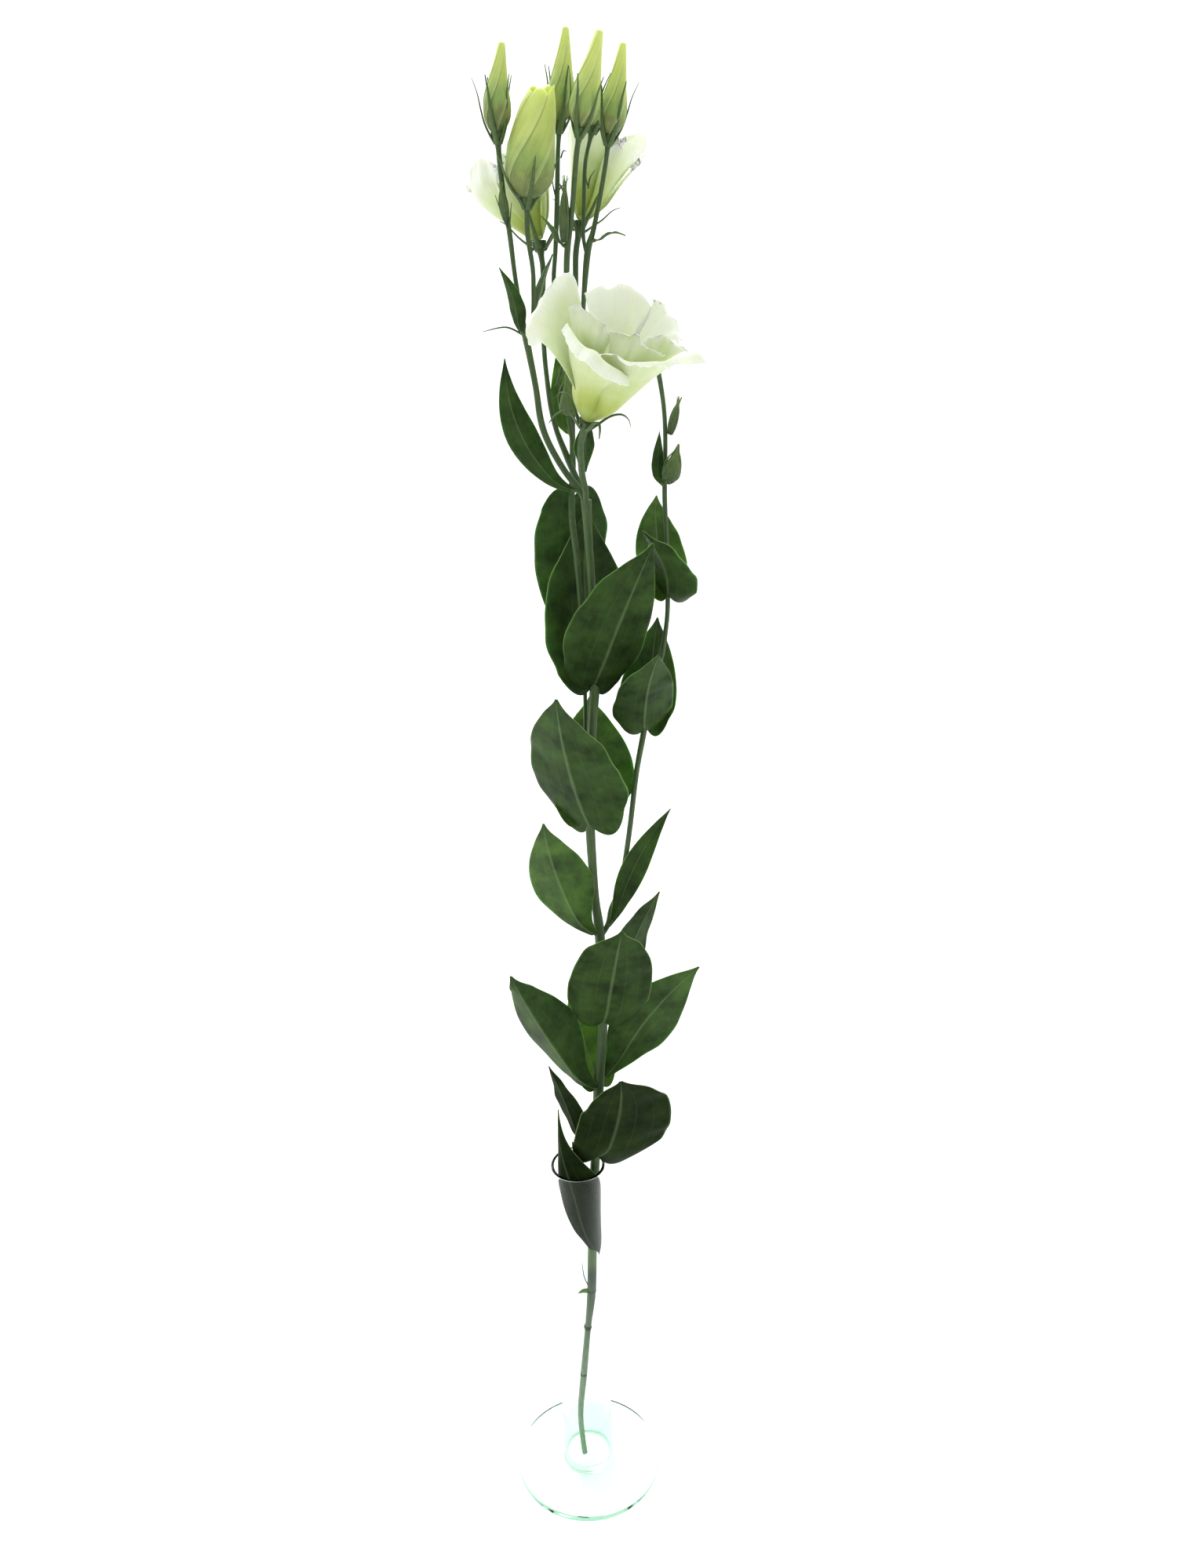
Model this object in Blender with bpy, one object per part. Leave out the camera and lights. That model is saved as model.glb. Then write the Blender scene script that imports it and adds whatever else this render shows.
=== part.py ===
"""A cut lisianthus standing in a clear glass bud vase.

The vase is a narrow tube on a flat round foot.  The plant is one stem that carries pairs of
leaves, branches near the top, and ends in six buds and three open flowers.  Every stem, leaf,
petal and bud is its own closed solid.  Lengths are in millimetres until a mesh is written, and
the origin is the middle of the foot's underside, with +Z up and the plant's front facing -Y.
"""
import math

import bmesh
import bpy
from mathutils import Matrix, Vector

MM = 0.001
UP = Vector((0, 0, 1))

# Vase
VASE_HEIGHT = 200.0
FOOT_RADIUS = 37.5
FOOT_THICKNESS = 4.0
FOOT_EDGE = 1.2
TUBE_RADIUS = 12.7
TUBE_WALL = 1.4
TUBE_FLOOR = 6.0
TUBE_FILLET = 2.5
VASE_SEGMENTS = 32

# Plant tissue
LEAF_THICKNESS = 0.9
BRACT_THICKNESS = 0.5
BRACT_WIDTH = 15.0
PETAL_THICKNESS = 0.7
CALYX_WALL = 0.9
CALYX_RECESS = 1.0
SEPAL_ROOT = 0.54
SEPAL_TIP = 0.22

STEM_SIDES = 8
STALK_SIDES = 6
BUD_SIDES = 8
LEAF_ROWS = 7
LEAF_COLUMNS = 5
PETAL_ROWS = 7
PETAL_COLUMNS = 7
BELL_COLUMNS = 15

LEAF_OUTLINE = (0.34, 0.86, 1.0, 0.92, 0.70, 0.38, 0.06)
SIDE_LEAF_OUTLINE = (0.13, 0.50, 0.88, 1.0, 0.80, 0.44, 0.06)
LEAF_LOBE = 0.14
BRACT_OUTLINE = (0.35, 0.75, 1.0, 0.9, 0.68, 0.38, 0.07)
BUD_OUTLINE = (0.14, 0.62, 0.93, 1.0, 0.88, 0.66, 0.44, 0.27, 0.12)
OPENING_BUD_OUTLINE = (0.10, 0.66, 0.95, 1.0, 0.97, 0.90, 0.78, 0.64, 0.40)
SMALL_BUD_OUTLINE = (0.14, 0.70, 1.0, 0.80, 0.38, 0.12)
ROUND_BUD_OUTLINE = (0.14, 0.90, 1.0, 0.80, 0.30, 0.08)

# Colours (linear red, green, blue) with roughness
FINISHES = {
    "clear_glass": ((0.86, 0.93, 0.90), 0.03),
    "green_stem": ((0.075, 0.135, 0.035), 0.55),
    "green_leaf": ((0.060, 0.110, 0.035), 0.60),
    "bud_green": ((0.42, 0.48, 0.20), 0.55),
    "white_petal": ((0.82, 0.82, 0.74), 0.60),
    "stigma_yellow": ((0.55, 0.50, 0.12), 0.60),
}

# Stems: points (x, y, z, radius) from each stem's start to its end
MAIN_STEM = [
    (-2, -1, 7.2, 1.8), (-3.5, 1, 33, 1.8), (-1, 2, 61, 2.1), (2, 1, 94, 1.8), (4.5, 1, 119, 2.3),
    (5.6, 0, 148, 2.2), (7, 0, 172, 1.9), (8, 0, 197, 2.2), (9.6, 0, 220, 2.1), (11, 0, 245, 2.4),
    (13.5, 0, 276, 2.1), (13.7, 0, 302, 2.0), (13.2, 0, 327, 2.2), (11.6, 0, 346, 1.8),
    (10.5, 0, 378, 2.0), (11.2, 0, 398, 1.7), (12.6, 0, 425, 1.8), (13.9, 0, 442, 2.0),
    (13.9, 0, 466, 1.6), (13.9, 0, 478, 1.6), (13, 0, 501, 1.6), (12.5, -1, 517, 2.1),
]
RIGHT_STEM = [
    (17.2, 2, 330, 1.2), (18.8, 3, 337, 1.2), (23, 4, 348, 1.1), (27, 5, 372, 1.1),
    (30.4, 5, 400, 1.1), (33.6, 5, 418, 1.2), (37.6, 5, 440, 1.0), (41, 4, 452, 1.1),
    (43, 4, 464, 0.9), (43.7, 4, 475, 0.9), (43.4, 4, 496, 0.8), (42.6, 4, 517, 0.9),
    (43, 5, 536, 0.8), (42.8, 9, 548, 0.8), (41.6, 14, 558, 0.9), (40.3, 17, 565, 1.1),
]
BACK_STEM = [
    (9.7, 3.6, 381, 0.8), (9.4, 3.8, 403, 0.8), (9.8, 3.3, 425, 0.8), (10, 1.6, 441, 0.8),
    (10, 0.8, 455, 0.9), (9.6, 0.8, 469, 1.0), (8.3, 2, 494, 1.2), (7, 5.5, 507, 1.3),
    (7, 8.5, 517, 1.3), (7.8, 9.8, 527, 1.2), (8.2, 10.5, 545, 1.1), (9.7, 12, 569, 1.1),
    (10.8, 14, 588, 1.0), (11.2, 16.6, 602, 1.1), (13, 20.4, 612, 2.4),
]
LEFT_STEM = [
    (9.6, -2.2, 522, 1.2), (6, -1.8, 526.5, 1.2), (2.1, -2, 533, 1.2), (-1.4, -3, 540.5, 1.2),
    (-3.5, -3, 548, 1.2), (-4.7, -3, 559, 1.1), (-6.5, -3, 570.5, 1.2), (-7.6, -3, 577, 1.3),
    (-8.9, -3, 585, 0.9), (-10.5, -3, 598, 0.8), (-11.6, -3, 611, 0.9), (-12.8, -3, 621, 0.8),
    (-13.8, -3, 632, 0.9), (-14.2, -3, 642, 2.1),
]
CENTRE_STEM = [
    (10.6, 2.4, 521.5, 1.1), (9.4, 2.6, 524, 1.1), (7.2, 3, 529, 1.2), (5.4, 4, 533.5, 1.2),
    (2.2, 5.5, 542, 1.0), (0.3, 7, 551, 1.0), (-0.8, 8.5, 561, 0.9), (-1.4, 10, 570, 0.9),
    (-1.6, 12, 583, 0.9), (-0.8, 13.4, 597, 1.0), (-1.7, 16, 606, 2.4),
]
FLOWER_1_STALK = [
    (12.3, -5, 521.5, 1.2), (11.4, -8, 527, 1.2), (11, -12.5, 533, 1.2), (11, -17, 540.5, 1.2),
    (13, -20, 548.5, 2.6),
]
BUD_2_STALK = [
    (-5.3, -3, 580.5, 0.9), (-4.5, -3, 585, 0.8), (-4.1, -3, 593, 0.8), (-4.1, -3, 600, 0.8),
    (-5.4, -3, 611, 0.9), (-5.1, -3, 621.4, 2.6),
]
BUD_3_STALK = [
    (5.2, 5.6, 566, 0.7), (4.8, 6.8, 575, 0.8), (4.2, 8.2, 583, 0.8), (3, 10, 594, 0.8),
    (4, 10, 605, 0.8), (5.1, 10, 620, 0.9), (5.9, 10, 635, 0.8), (6.8, 10, 645, 2.1),
]
BUD_4_STALK = [
    (8, 2.6, 535.8, 0.8), (6.9, 3, 547, 0.8), (6.4, 3, 557, 0.8), (6.6, 3, 573, 0.9),
    (7.4, 2, 589, 0.9), (8.2, 0, 604.5, 1.1), (10.3, -3, 618, 0.9), (12.3, -7, 635, 0.9),
    (13.8, -9, 643, 2.1),
]
BUD_5_STALK = [
    (12.6, 11.2, 573, 0.8), (13.7, 10, 588, 0.9), (15.5, 8, 604, 1.2), (17.6, 6, 611, 0.9),
    (19.7, 4.4, 619.5, 0.8), (21.9, 3, 630, 0.8), (23.7, 1.8, 640.5, 2.1),
]
BUD_6_STALK = [
    (14.2, 11, 608.5, 0.7), (14.3, 11.5, 613, 0.7), (14.6, 12, 620, 0.7), (15.5, 12.6, 633, 0.7),
    (18.2, 13.4, 643.5, 1.8),
]

# Leaves: name, base, tip and width, then the bend of the midrib towards the upper face, its
# sideways bow, the roll about the midrib, the fold of the two halves and the cupping across them
BROAD_LEAVES = [
    ("leaf_rim_front", (12.0, -6.6, 207.5), (25, -28, 262), 42, 0.03, -0.05, -22, 4, 0.08),
    ("leaf_low_back", (9.5, 4.6, 246), (-2, 30, 273), 24, 0.04, 0.0, 0, 10, 0.1),
    ("leaf_mid_front", (14.6, -5.0, 282), (22, -36, 346), 38, 0.02, -0.02, -12, 8, 0.08),
    ("leaf_mid_back", (18.0, 5.0, 286), (41, 24, 333), 25, 0.04, 0.0, -10, 10, 0.0),
    ("leaf_upper_front", (9.6, -3.8, 381), (-1, -31, 448), 44, 0.02, 0.0, -5, 8, 0.10),
    ("leaf_upper_back", (11.8, 5.8, 382), (12, 34, 424), 34, 0.05, 0.0, 0, 6, 0.10),
    ("leaf_top_front", (14.6, -3.8, 444), (36, -34, 508), 42, 0.02, 0.0, -30, 8, 0.10),
    ("leaf_top_back", (14.6, 6.8, 446), (13, 10.4, 511), 36, -0.03, 0.0, 0, 2, 0.0),
    ("leaf_branch_low_front", (33.6, 1.4, 421), (38, -29, 464), 28, 0.03, 0.02, 5, 8, 0.10),
    ("leaf_branch_low_back", (35.2, 8.0, 420), (41, 27, 461), 24, 0.04, 0.0, 0, 8, 0.10),
    ("leaf_branch_front", (43.4, -1.6, 478), (33, -23, 510), 24, 0.04, -0.06, -20, 20, 0.0),
    ("leaf_branch_back", (44.2, 9.0, 479), (41, 30, 511), 20, 0.04, -0.06, 0, 10, 0.0),
    ("leaf_node_back", (8.2, 10.8, 515), (3, 27, 447), 30, 0.02, 0.0, 0, 6, 0.0),
]
SIDE_LEAVES = [
    ("leaf_collar", (3.4, -5.6, 151), (-8.4, -1, 232), 15.5, -0.05, 0.0, 80, 10, 0.34),
    ("leaf_rim_left", (2.4, 4.4, 205), (-12, 9, 250), 18, 0.02, 0.0, 60, 10, 0.0),
    ("leaf_low_left", (6.4, -6.2, 245), (-26, -10, 312), 32, 0.03, 0.04, 76, 24, 0.0),
    ("leaf_low_right", (16.8, 0.9, 249), (57, 1, 307), 30, 0.02, 0.05, -84, 3, 0.0),
    ("leaf_mid_left", (8.2, -4.3, 327), (-9, -5, 383), 29, 0.02, 0.06, 76, 12, 0.0),
    ("leaf_mid_right", (19.0, -1.2, 330), (45, 8, 382), 12, 0.03, -0.05, 60, 25, 0.0),
    ("leaf_node_left", (7.4, -5.6, 519), (-15, -14, 571), 13, 0.03, 0.12, 75, 26, 0.0),
]
BRACTS = [
    ("leaf_node_front", (12.4, -4.6, 531), (14, -7.6, 549), 9, 0.04, 0.0, 0, 14, 0.0),
    ("leaf_fork_back", (4.2, 13.6, 539), (3, 24, 569), 8, 0.04, 0.0, 0, 8, 0.1),
    ("leaf_bud_left", (-9.8, -5.8, 578), (-15.5, -11, 601), 7, 0.05, -0.05, 20, 25, 0.0),
    ("leaf_bud_right", (-4.6, 2.2, 580), (3, 5, 604), 9, 0.03, 0.0, 0, 14, 0.0),
    ("leaf_branch_top", (39.9, 2.4, 521), (40.4, -2, 542), 5, 0.05, 0.0, 0, 20, 0.0),
    ("bract_fork_left", (5.4, -0.6, 607), (-0.5, -4, 617), 4.5, 0.06, 0.0, 0, 15, 0.0),
    ("bract_fork_right", (19.4, 4.6, 607), (29, 1, 609.5), 4.5, 0.20, 0.0, 0, 15, 0.0),
]

# Buds: name, base, middle and tip of the axis, greatest radius and outline
BUDS = [
    ("bud_1", (-14.2, -3, 642.6), (-13.6, -3, 655), (-11.3, -3, 670), 4.4, BUD_OUTLINE),
    ("bud_2", (-5.1, -3, 622.1), (-3, -3, 637), (0.4, -3, 657), 8.0, OPENING_BUD_OUTLINE),
    ("bud_3", (6.9, 10, 645.6), (8.3, 10, 659), (10, 10, 675), 4.3, BUD_OUTLINE),
    ("bud_4", (14, -9.1, 643.6), (16.6, -10.4, 656), (21, -11.6, 672), 4.8, BUD_OUTLINE),
    ("bud_5", (23.8, 1.7, 641.1), (26, 0.6, 653), (29, -0.4, 669), 4.4, BUD_OUTLINE),
    ("bud_6", (18.5, 13.5, 644.1), (19.8, 13.8, 650), (21.5, 14, 657.5), 2.9, BUD_OUTLINE),
    ("small_bud_centre", (6.8, 0.4, 549.6), (7, -2.6, 554), (6.6, -3.2, 563), 3.2, ROUND_BUD_OUTLINE),
    ("small_bud_fork", (7.2, -2.8, 609), (7.2, -4.2, 616), (8.2, -5, 628), 1.7, SMALL_BUD_OUTLINE),
    ("small_bud_left", (-12.7, -5, 617), (-13, -6.2, 621), (-13.8, -6.4, 627), 1.3, SMALL_BUD_OUTLINE),
    ("small_bud_right", (44, 0.6, 523), (45.4, -1.2, 528.5), (47.3, -1.6, 536), 3.2, ROUND_BUD_OUTLINE),
    ("small_bud_side", (45, 5.2, 540.5), (46.2, 4, 546), (48, 3, 552.5), 1.4, SMALL_BUD_OUTLINE),
    ("small_bud_tip", (39.9, 17.9, 567.2), (39.6, 19, 572), (39, 20.5, 580), 2.2, SMALL_BUD_OUTLINE),
]

# Open flowers: base and axis, then the bell's outline as (radius, height) at several headings.
# A heading of 0 points to the plant's right, and 90 points away from its front.
FLOWER_1 = {
    "base": (13.2, -20.4, 549.4),
    "axis": (0.35, -0.30, 0.89),
    "profiles": {
        -60: ((2, 2), (7, 15), (17, 22), (27, 22), (33, 15)),
        -20: ((2, 2), (8, 15), (18, 26), (28, 32), (37, 32)),
        40: ((2, 2), (7, 16), (15, 29), (22, 37), (27, 39)),
        105: ((2, 2), (6, 15), (10, 27), (12, 36), (11, 41)),
        145: ((2, 2), (7, 15), (13, 28), (21, 39), (26, 41)),
        190: ((2, 2), (8, 15), (16, 27), (25, 34), (31, 30)),
        255: ((2, 2), (7, 16), (14, 24), (23, 26), (28, 20)),
    },
}
FLOWER_2 = {
    "base": (-1.8, 16.3, 607),
    "axis": (-0.30, 0.38, 0.87),
    "profiles": {
        0: ((2, 2), (6, 10), (9, 19), (11, 27), (12, 33)),
        120: ((2, 2), (6, 10), (10, 19), (13, 28), (14, 34)),
        200: ((2, 2), (6, 9), (12, 15), (16, 23), (13, 33)),
    },
}
FLOWER_3 = {
    "base": (13.3, 21.0, 613.2),
    "axis": (0.32, 0.46, 0.83),
    "profiles": {
        0: ((2, 2), (6, 10), (9, 19), (12.5, 27), (16, 33)),
        120: ((2, 2), (6, 10), (9, 19), (13, 27), (16, 33)),
        240: ((2, 2), (6, 10), (9, 19), (12, 27), (15, 32)),
    },
}
# Petals of the front flower: name, heading, half angle, step inwards, and where it starts and ends
# as shares of the bell's length
PETALS = [
    ("petal_right", -25, 46, 0.0, 0.0, 1.0),
    ("petal_right_back", 42, 44, 0.0, 0.0, 1.0),
    ("petal_back", 108, 44, 0.0, 0.0, 1.0),
    ("petal_left", 178, 46, 0.0, 0.0, 1.0),
    ("petal_front", 258, 48, 0.0, 0.0, 1.0),
    ("petal_inner", 225, 44, 4.0, 0.25, 0.66),
]
PETAL_SPREAD = (0.60, 0.72, 0.92, 1.0, 1.0, 0.92, 0.66)
PINWHEEL = 1.7
LOBE_DEPTH = 0.14
BELL_SKIN = 0.84
BELL_FLOOR = (1.4, 2.6)

# Pistil: where it starts and how long it is along the flower's axis, then its radii
PISTIL_START = 4.5
PISTIL_LENGTH = 18.0
PISTIL_RADII = (0.9, 1.9, 1.8, 0.9, 0.9, 2.4, 0.6)

# Sepals as (distance from the axis, height above the calyx)
BUD_SEPALS = ((3.0, 1.2), (6.2, 6.0), (7.0, 13.0), (6.8, 19.0))
OPENING_SEPALS = ((3.8, 1.2), (8.8, 5.0), (11.2, 12.0), (12.0, 18.0))
SMALL_SEPALS = ((2.2, 1.2), (4.0, 4.5), (4.6, 8.5))
FLOWER_SEPALS = ((4.4, 1.6), (8.2, 4.5), (11.4, 9.5), (13.6, 15.0))
BACK_FLOWER_SEPALS = ((4.4, 1.2), (7.6, 4.6), (9.4, 10.0))


def smooth(values, t):
    """Read a list of numbers or vectors at t (0 to 1) along a Catmull-Rom curve."""
    last = len(values) - 1
    place = min(max(t, 0.0), 1.0) * last
    i = min(int(place), last - 1)
    u = place - i
    before = values[max(i - 1, 0)]
    a, b = values[i], values[i + 1]
    after = values[min(i + 2, last)]
    return (a * 2 + (b - before) * u + (before * 2 - a * 5 + b * 4 - after) * u ** 2
            + (a * 3 - before - b * 3 + after) * u ** 3) * 0.5


def finish_material(finish):
    """Make the Principled material of one finish, once."""
    material = bpy.data.materials.get(finish)
    if material:
        return material
    colour, roughness = FINISHES[finish]
    material = bpy.data.materials.new(finish)
    material.use_nodes = True
    shader = material.node_tree.nodes["Principled BSDF"]
    shader.inputs["Base Color"].default_value = (*colour, 1)
    shader.inputs["Roughness"].default_value = roughness
    shader.inputs["Metallic"].default_value = 0
    if finish == "clear_glass":
        shader.inputs["Transmission Weight"].default_value = 1
        shader.inputs["IOR"].default_value = 1.52
    return material


def add_object(name, bm, finish):
    """Turn a bmesh in millimetres into a named object in metres."""
    bmesh.ops.scale(bm, vec=(MM, MM, MM), verts=bm.verts)
    bmesh.ops.recalc_face_normals(bm, faces=bm.faces)
    mesh = bpy.data.meshes.new(name)
    bm.to_mesh(mesh)
    bm.free()
    mesh.shade_smooth()
    mesh.materials.append(finish_material(finish))
    obj = bpy.data.objects.new(name, mesh)
    bpy.context.scene.collection.objects.link(obj)
    return obj


def join_rings(bm, lower, upper):
    """Bridge two rings of vertices with quads, and return the quads."""
    count = len(lower)
    return [bm.faces.new((lower[k], lower[(k + 1) % count], upper[(k + 1) % count], upper[k]))
            for k in range(count)]


def turned(name, profile, segments, finish):
    """Turn an outline of (radius, height) points that starts and ends on the axis."""
    bm = bmesh.new()
    rings = []
    for radius, height in profile[1:-1]:
        ring = []
        for k in range(segments):
            angle = 2 * math.pi * k / segments
            ring.append(bm.verts.new((radius * math.cos(angle), radius * math.sin(angle), height)))
        rings.append(ring)
    for lower, upper in zip(rings, rings[1:]):
        join_rings(bm, lower, upper)
    for ring, height in ((rings[0], profile[0][1]), (rings[-1], profile[-1][1])):
        middle = bm.verts.new((0, 0, height))
        for k in range(segments):
            bm.faces.new((middle, ring[k], ring[(k + 1) % segments]))
    return add_object(name, bm, finish)


def arc(centre, radius, start, end, steps):
    """Points on an arc in the outline plane, angles in degrees."""
    points = []
    for k in range(steps + 1):
        angle = math.radians(start + (end - start) * k / steps)
        points.append((centre[0] + radius * math.cos(angle), centre[1] + radius * math.sin(angle)))
    return points


def vase():
    """The bud vase: a flat round foot and a thick-bottomed tube, in one turned glass body."""
    half_wall = TUBE_WALL / 2
    inner = TUBE_RADIUS - TUBE_WALL
    profile = [(0, 0)]
    profile += arc((FOOT_RADIUS - FOOT_EDGE, FOOT_EDGE), FOOT_EDGE, -90, 0, 2)
    profile += arc((FOOT_RADIUS - FOOT_EDGE, FOOT_THICKNESS - FOOT_EDGE), FOOT_EDGE, 0, 90, 2)
    profile += arc((TUBE_RADIUS + TUBE_FILLET, FOOT_THICKNESS + TUBE_FILLET), TUBE_FILLET, 270, 180, 3)
    profile += [(TUBE_RADIUS, VASE_HEIGHT / 2)]
    profile += arc((TUBE_RADIUS - half_wall, VASE_HEIGHT - half_wall), half_wall, 0, 180, 4)
    profile += [(inner, VASE_HEIGHT / 2)]
    profile += arc((inner - TUBE_FILLET, TUBE_FLOOR + TUBE_FILLET), TUBE_FILLET, 0, -90, 3)
    profile += [(0, TUBE_FLOOR)]
    turned("vase", profile, VASE_SEGMENTS, "clear_glass")


def frames_along(route, rings):
    """Places and steady side directions along a smooth route."""
    points = [smooth(route, k / (rings - 1)) for k in range(rings)]
    side = None
    frames = []
    for k, point in enumerate(points):
        tangent = (points[min(k + 1, rings - 1)] - points[max(k - 1, 0)]).normalized()
        if side is None:
            side = tangent.orthogonal()
        side = (side - tangent * side.dot(tangent)).normalized()
        frames.append((point, tangent, side))
    return frames


def add_ring(bm, frame, radius, sides):
    """One ring of vertices square to a frame's tangent."""
    point, tangent, side = frame
    ring = []
    for k in range(sides):
        turn = Matrix.Rotation(2 * math.pi * k / sides, 3, tangent)
        ring.append(bm.verts.new(point + turn @ side * radius))
    return ring


def cap(bm, ring, point):
    """Close a ring with a fan about a point."""
    middle = bm.verts.new(point)
    for k in range(len(ring)):
        bm.faces.new((middle, ring[k], ring[(k + 1) % len(ring)]))


def grow_sepals(bm, faces, frame, path):
    """Draw each face of the calyx rim out along a path into a tapering sepal."""
    point, tangent, _ = frame
    for root in faces:
        centre = root.calc_center_median()
        radial = centre - point
        radial = (radial - tangent * radial.dot(tangent)).normalized()
        face = root
        places = [point + radial * distance + tangent * height for distance, height in path]
        for k, place in enumerate(places):
            ahead = places[k + 1] if k + 1 < len(places) else place * 2 - places[k - 1]
            direction = (ahead - centre).normalized()
            size = max((v.co - centre).length for v in face.verts)
            share = 1 - (k + 1) / len(places)
            target = SEPAL_TIP + (SEPAL_ROOT - SEPAL_TIP) * share
            face = bmesh.ops.extrude_discrete_faces(bm, faces=[face])["faces"][0]
            swing = face.normal.rotation_difference(direction)
            for v in face.verts:
                v.co = place + swing @ (v.co - centre) * (target / size)
            face.normal_update()
            centre = place


def tube(bm, frames, radii, sides):
    """A tube with a closed start; returns its last, open ring."""
    rings = [add_ring(bm, frame, radius, sides) for frame, radius in zip(frames, radii)]
    for lower, upper in zip(rings, rings[1:]):
        join_rings(bm, lower, upper)
    cap(bm, rings[0], frames[0][0])
    return rings[-1]


def stalk(name, table, sides=STALK_SIDES, sepals=None):
    """A stem along a route of (x, y, z, radius) points, ending round or in a calyx."""
    route = [Vector(row[:3]) for row in table]
    table_radii = [row[3] for row in table]
    rings = len(table) + len(table) // 2
    frames = frames_along(route, rings)
    radii = [smooth(table_radii, k / (rings - 1)) for k in range(rings)]
    bm = bmesh.new()
    end = tube(bm, frames, radii, sides)
    point, tangent, side = frames[-1]
    if not sepals:
        cap(bm, end, point)
        return add_object(name, bm, "green_stem")
    inner = add_ring(bm, frames[-1], radii[-1] - CALYX_WALL, sides)
    rim = join_rings(bm, end, inner)
    floor_frame = (point - tangent * CALYX_RECESS, tangent, side)
    floor = add_ring(bm, floor_frame, radii[-1] - CALYX_WALL, sides)
    join_rings(bm, inner, floor)
    cap(bm, floor, floor_frame[0])
    bm.normal_update()
    bmesh.ops.recalc_face_normals(bm, faces=bm.faces)
    grow_sepals(bm, rim, frames[-1], sepals)
    return add_object(name, bm, "green_stem")


def spindle(name, base, middle, tip, radius, outline, finish):
    """A bud: a body round a gently bent axis, with the given outline of radii."""
    route = [Vector(base), Vector(middle), Vector(tip)]
    frames = frames_along(route, len(outline))
    bm = bmesh.new()
    end = tube(bm, frames, [radius * share for share in outline], BUD_SIDES)
    cap(bm, end, frames[-1][0])
    return add_object(name, bm, finish)


def grid_normals(grid):
    """Unit normals of a grid of points, row by row."""
    rows, columns = len(grid), len(grid[0])
    normals = []
    for i in range(rows):
        line = []
        for j in range(columns):
            along = grid[min(i + 1, rows - 1)][j] - grid[max(i - 1, 0)][j]
            across = grid[i][min(j + 1, columns - 1)] - grid[i][max(j - 1, 0)]
            line.append(across.cross(along).normalized())
        normals.append(line)
    return normals


def shell(name, grid, thickness, finish):
    """A closed sheet of even thickness about a grid of points."""
    normals = grid_normals(grid)
    rows, columns = len(grid), len(grid[0])
    bm = bmesh.new()
    skins = []
    for sign in (0.5, -0.5):
        skins.append([[bm.verts.new(grid[i][j] + normals[i][j] * thickness * sign)
                       for j in range(columns)] for i in range(rows)])
    for skin in skins:
        for i in range(rows - 1):
            for j in range(columns - 1):
                bm.faces.new((skin[i][j], skin[i][j + 1], skin[i + 1][j + 1], skin[i + 1][j]))
    border = [(0, j) for j in range(columns)]
    border += [(i, columns - 1) for i in range(1, rows)]
    border += [(rows - 1, j) for j in range(columns - 2, -1, -1)]
    border += [(i, 0) for i in range(rows - 2, 0, -1)]
    for (i, j), (m, n) in zip(border, border[1:] + border[:1]):
        bm.faces.new((skins[0][i][j], skins[0][m][n], skins[1][m][n], skins[1][i][j]))
    return add_object(name, bm, finish)


def leaf(name, base, tip, width, arch, bow, roll, fold, cup, outline, basal_lobe):
    """A leaf blade from base to tip, with its upper face turned towards the sky and the stem."""
    base, tip = Vector(base), Vector(tip)
    chord = tip - base
    along = chord.normalized()
    upper = (UP - along * UP.dot(along)).normalized()
    upper = Matrix.Rotation(math.radians(roll), 3, along) @ upper
    side = along.cross(upper)
    half = width / 2
    grid = []
    for i in range(LEAF_ROWS):
        t = i / (LEAF_ROWS - 1)
        bend = 4 * t * (1 - t) * chord.length
        centre = base + chord * t + upper * arch * bend + side * bow * bend
        tilt = 4 * (1 - 2 * t)
        tangent = (along + upper * arch * tilt + side * bow * tilt).normalized()
        normal = (upper - tangent * upper.dot(tangent)).normalized()
        across = tangent.cross(normal)
        slope = math.radians(fold) * min(1, 2.5 * outline[i])
        line = []
        for j in range(LEAF_COLUMNS):
            s = 2 * j / (LEAF_COLUMNS - 1) - 1
            x = s * half * outline[i]
            lift = abs(x) * math.sin(slope) + cup * x * x / half
            lobe = basal_lobe * width * s * s * (1 - t) ** 4
            line.append(centre + across * x * math.cos(slope) + normal * lift - tangent * lobe)
        grid.append(line)
    thickness = BRACT_THICKNESS if width < BRACT_WIDTH else LEAF_THICKNESS
    return shell(name, grid, thickness, "green_leaf")


def flower_axes(flower):
    """The flower's axis, its rightward direction and the direction away from the front."""
    axis = Vector(flower["axis"]).normalized()
    right = (Vector((1, 0, 0)) - axis * axis.x).normalized()
    return axis, right, axis.cross(right)


def bell_point(flower, heading, t):
    """A point on the flower's bell at a heading in degrees and a share t of its length."""
    profiles = flower["profiles"]
    headings = sorted(profiles)
    start = headings[0]
    wrapped = (heading - start) % 360 + start
    below = max(h for h in headings if h <= wrapped)
    later = [h for h in headings if h > wrapped]
    above = later[0] if later else start + 360
    share = (wrapped - below) / (above - below)
    share = share * share * (3 - 2 * share)
    first = [Vector(p) for p in profiles[below]]
    second = [Vector(p) for p in profiles[above if later else start]]
    radius, height = smooth(first, t).lerp(smooth(second, t), share)
    axis, right, away = flower_axes(flower)
    angle = math.radians(heading)
    outward = right * math.cos(angle) + away * math.sin(angle)
    return Vector(flower["base"]) + axis * height + outward * radius


def bell_normal(flower, heading, t):
    """The outward normal of the bell."""
    step_t, step_angle = 0.02, 2.0
    along = bell_point(flower, heading, t + step_t) - bell_point(flower, heading, t - step_t)
    round_way = bell_point(flower, heading + step_angle, t) - bell_point(flower, heading - step_angle, t)
    return round_way.cross(along).normalized()


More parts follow.
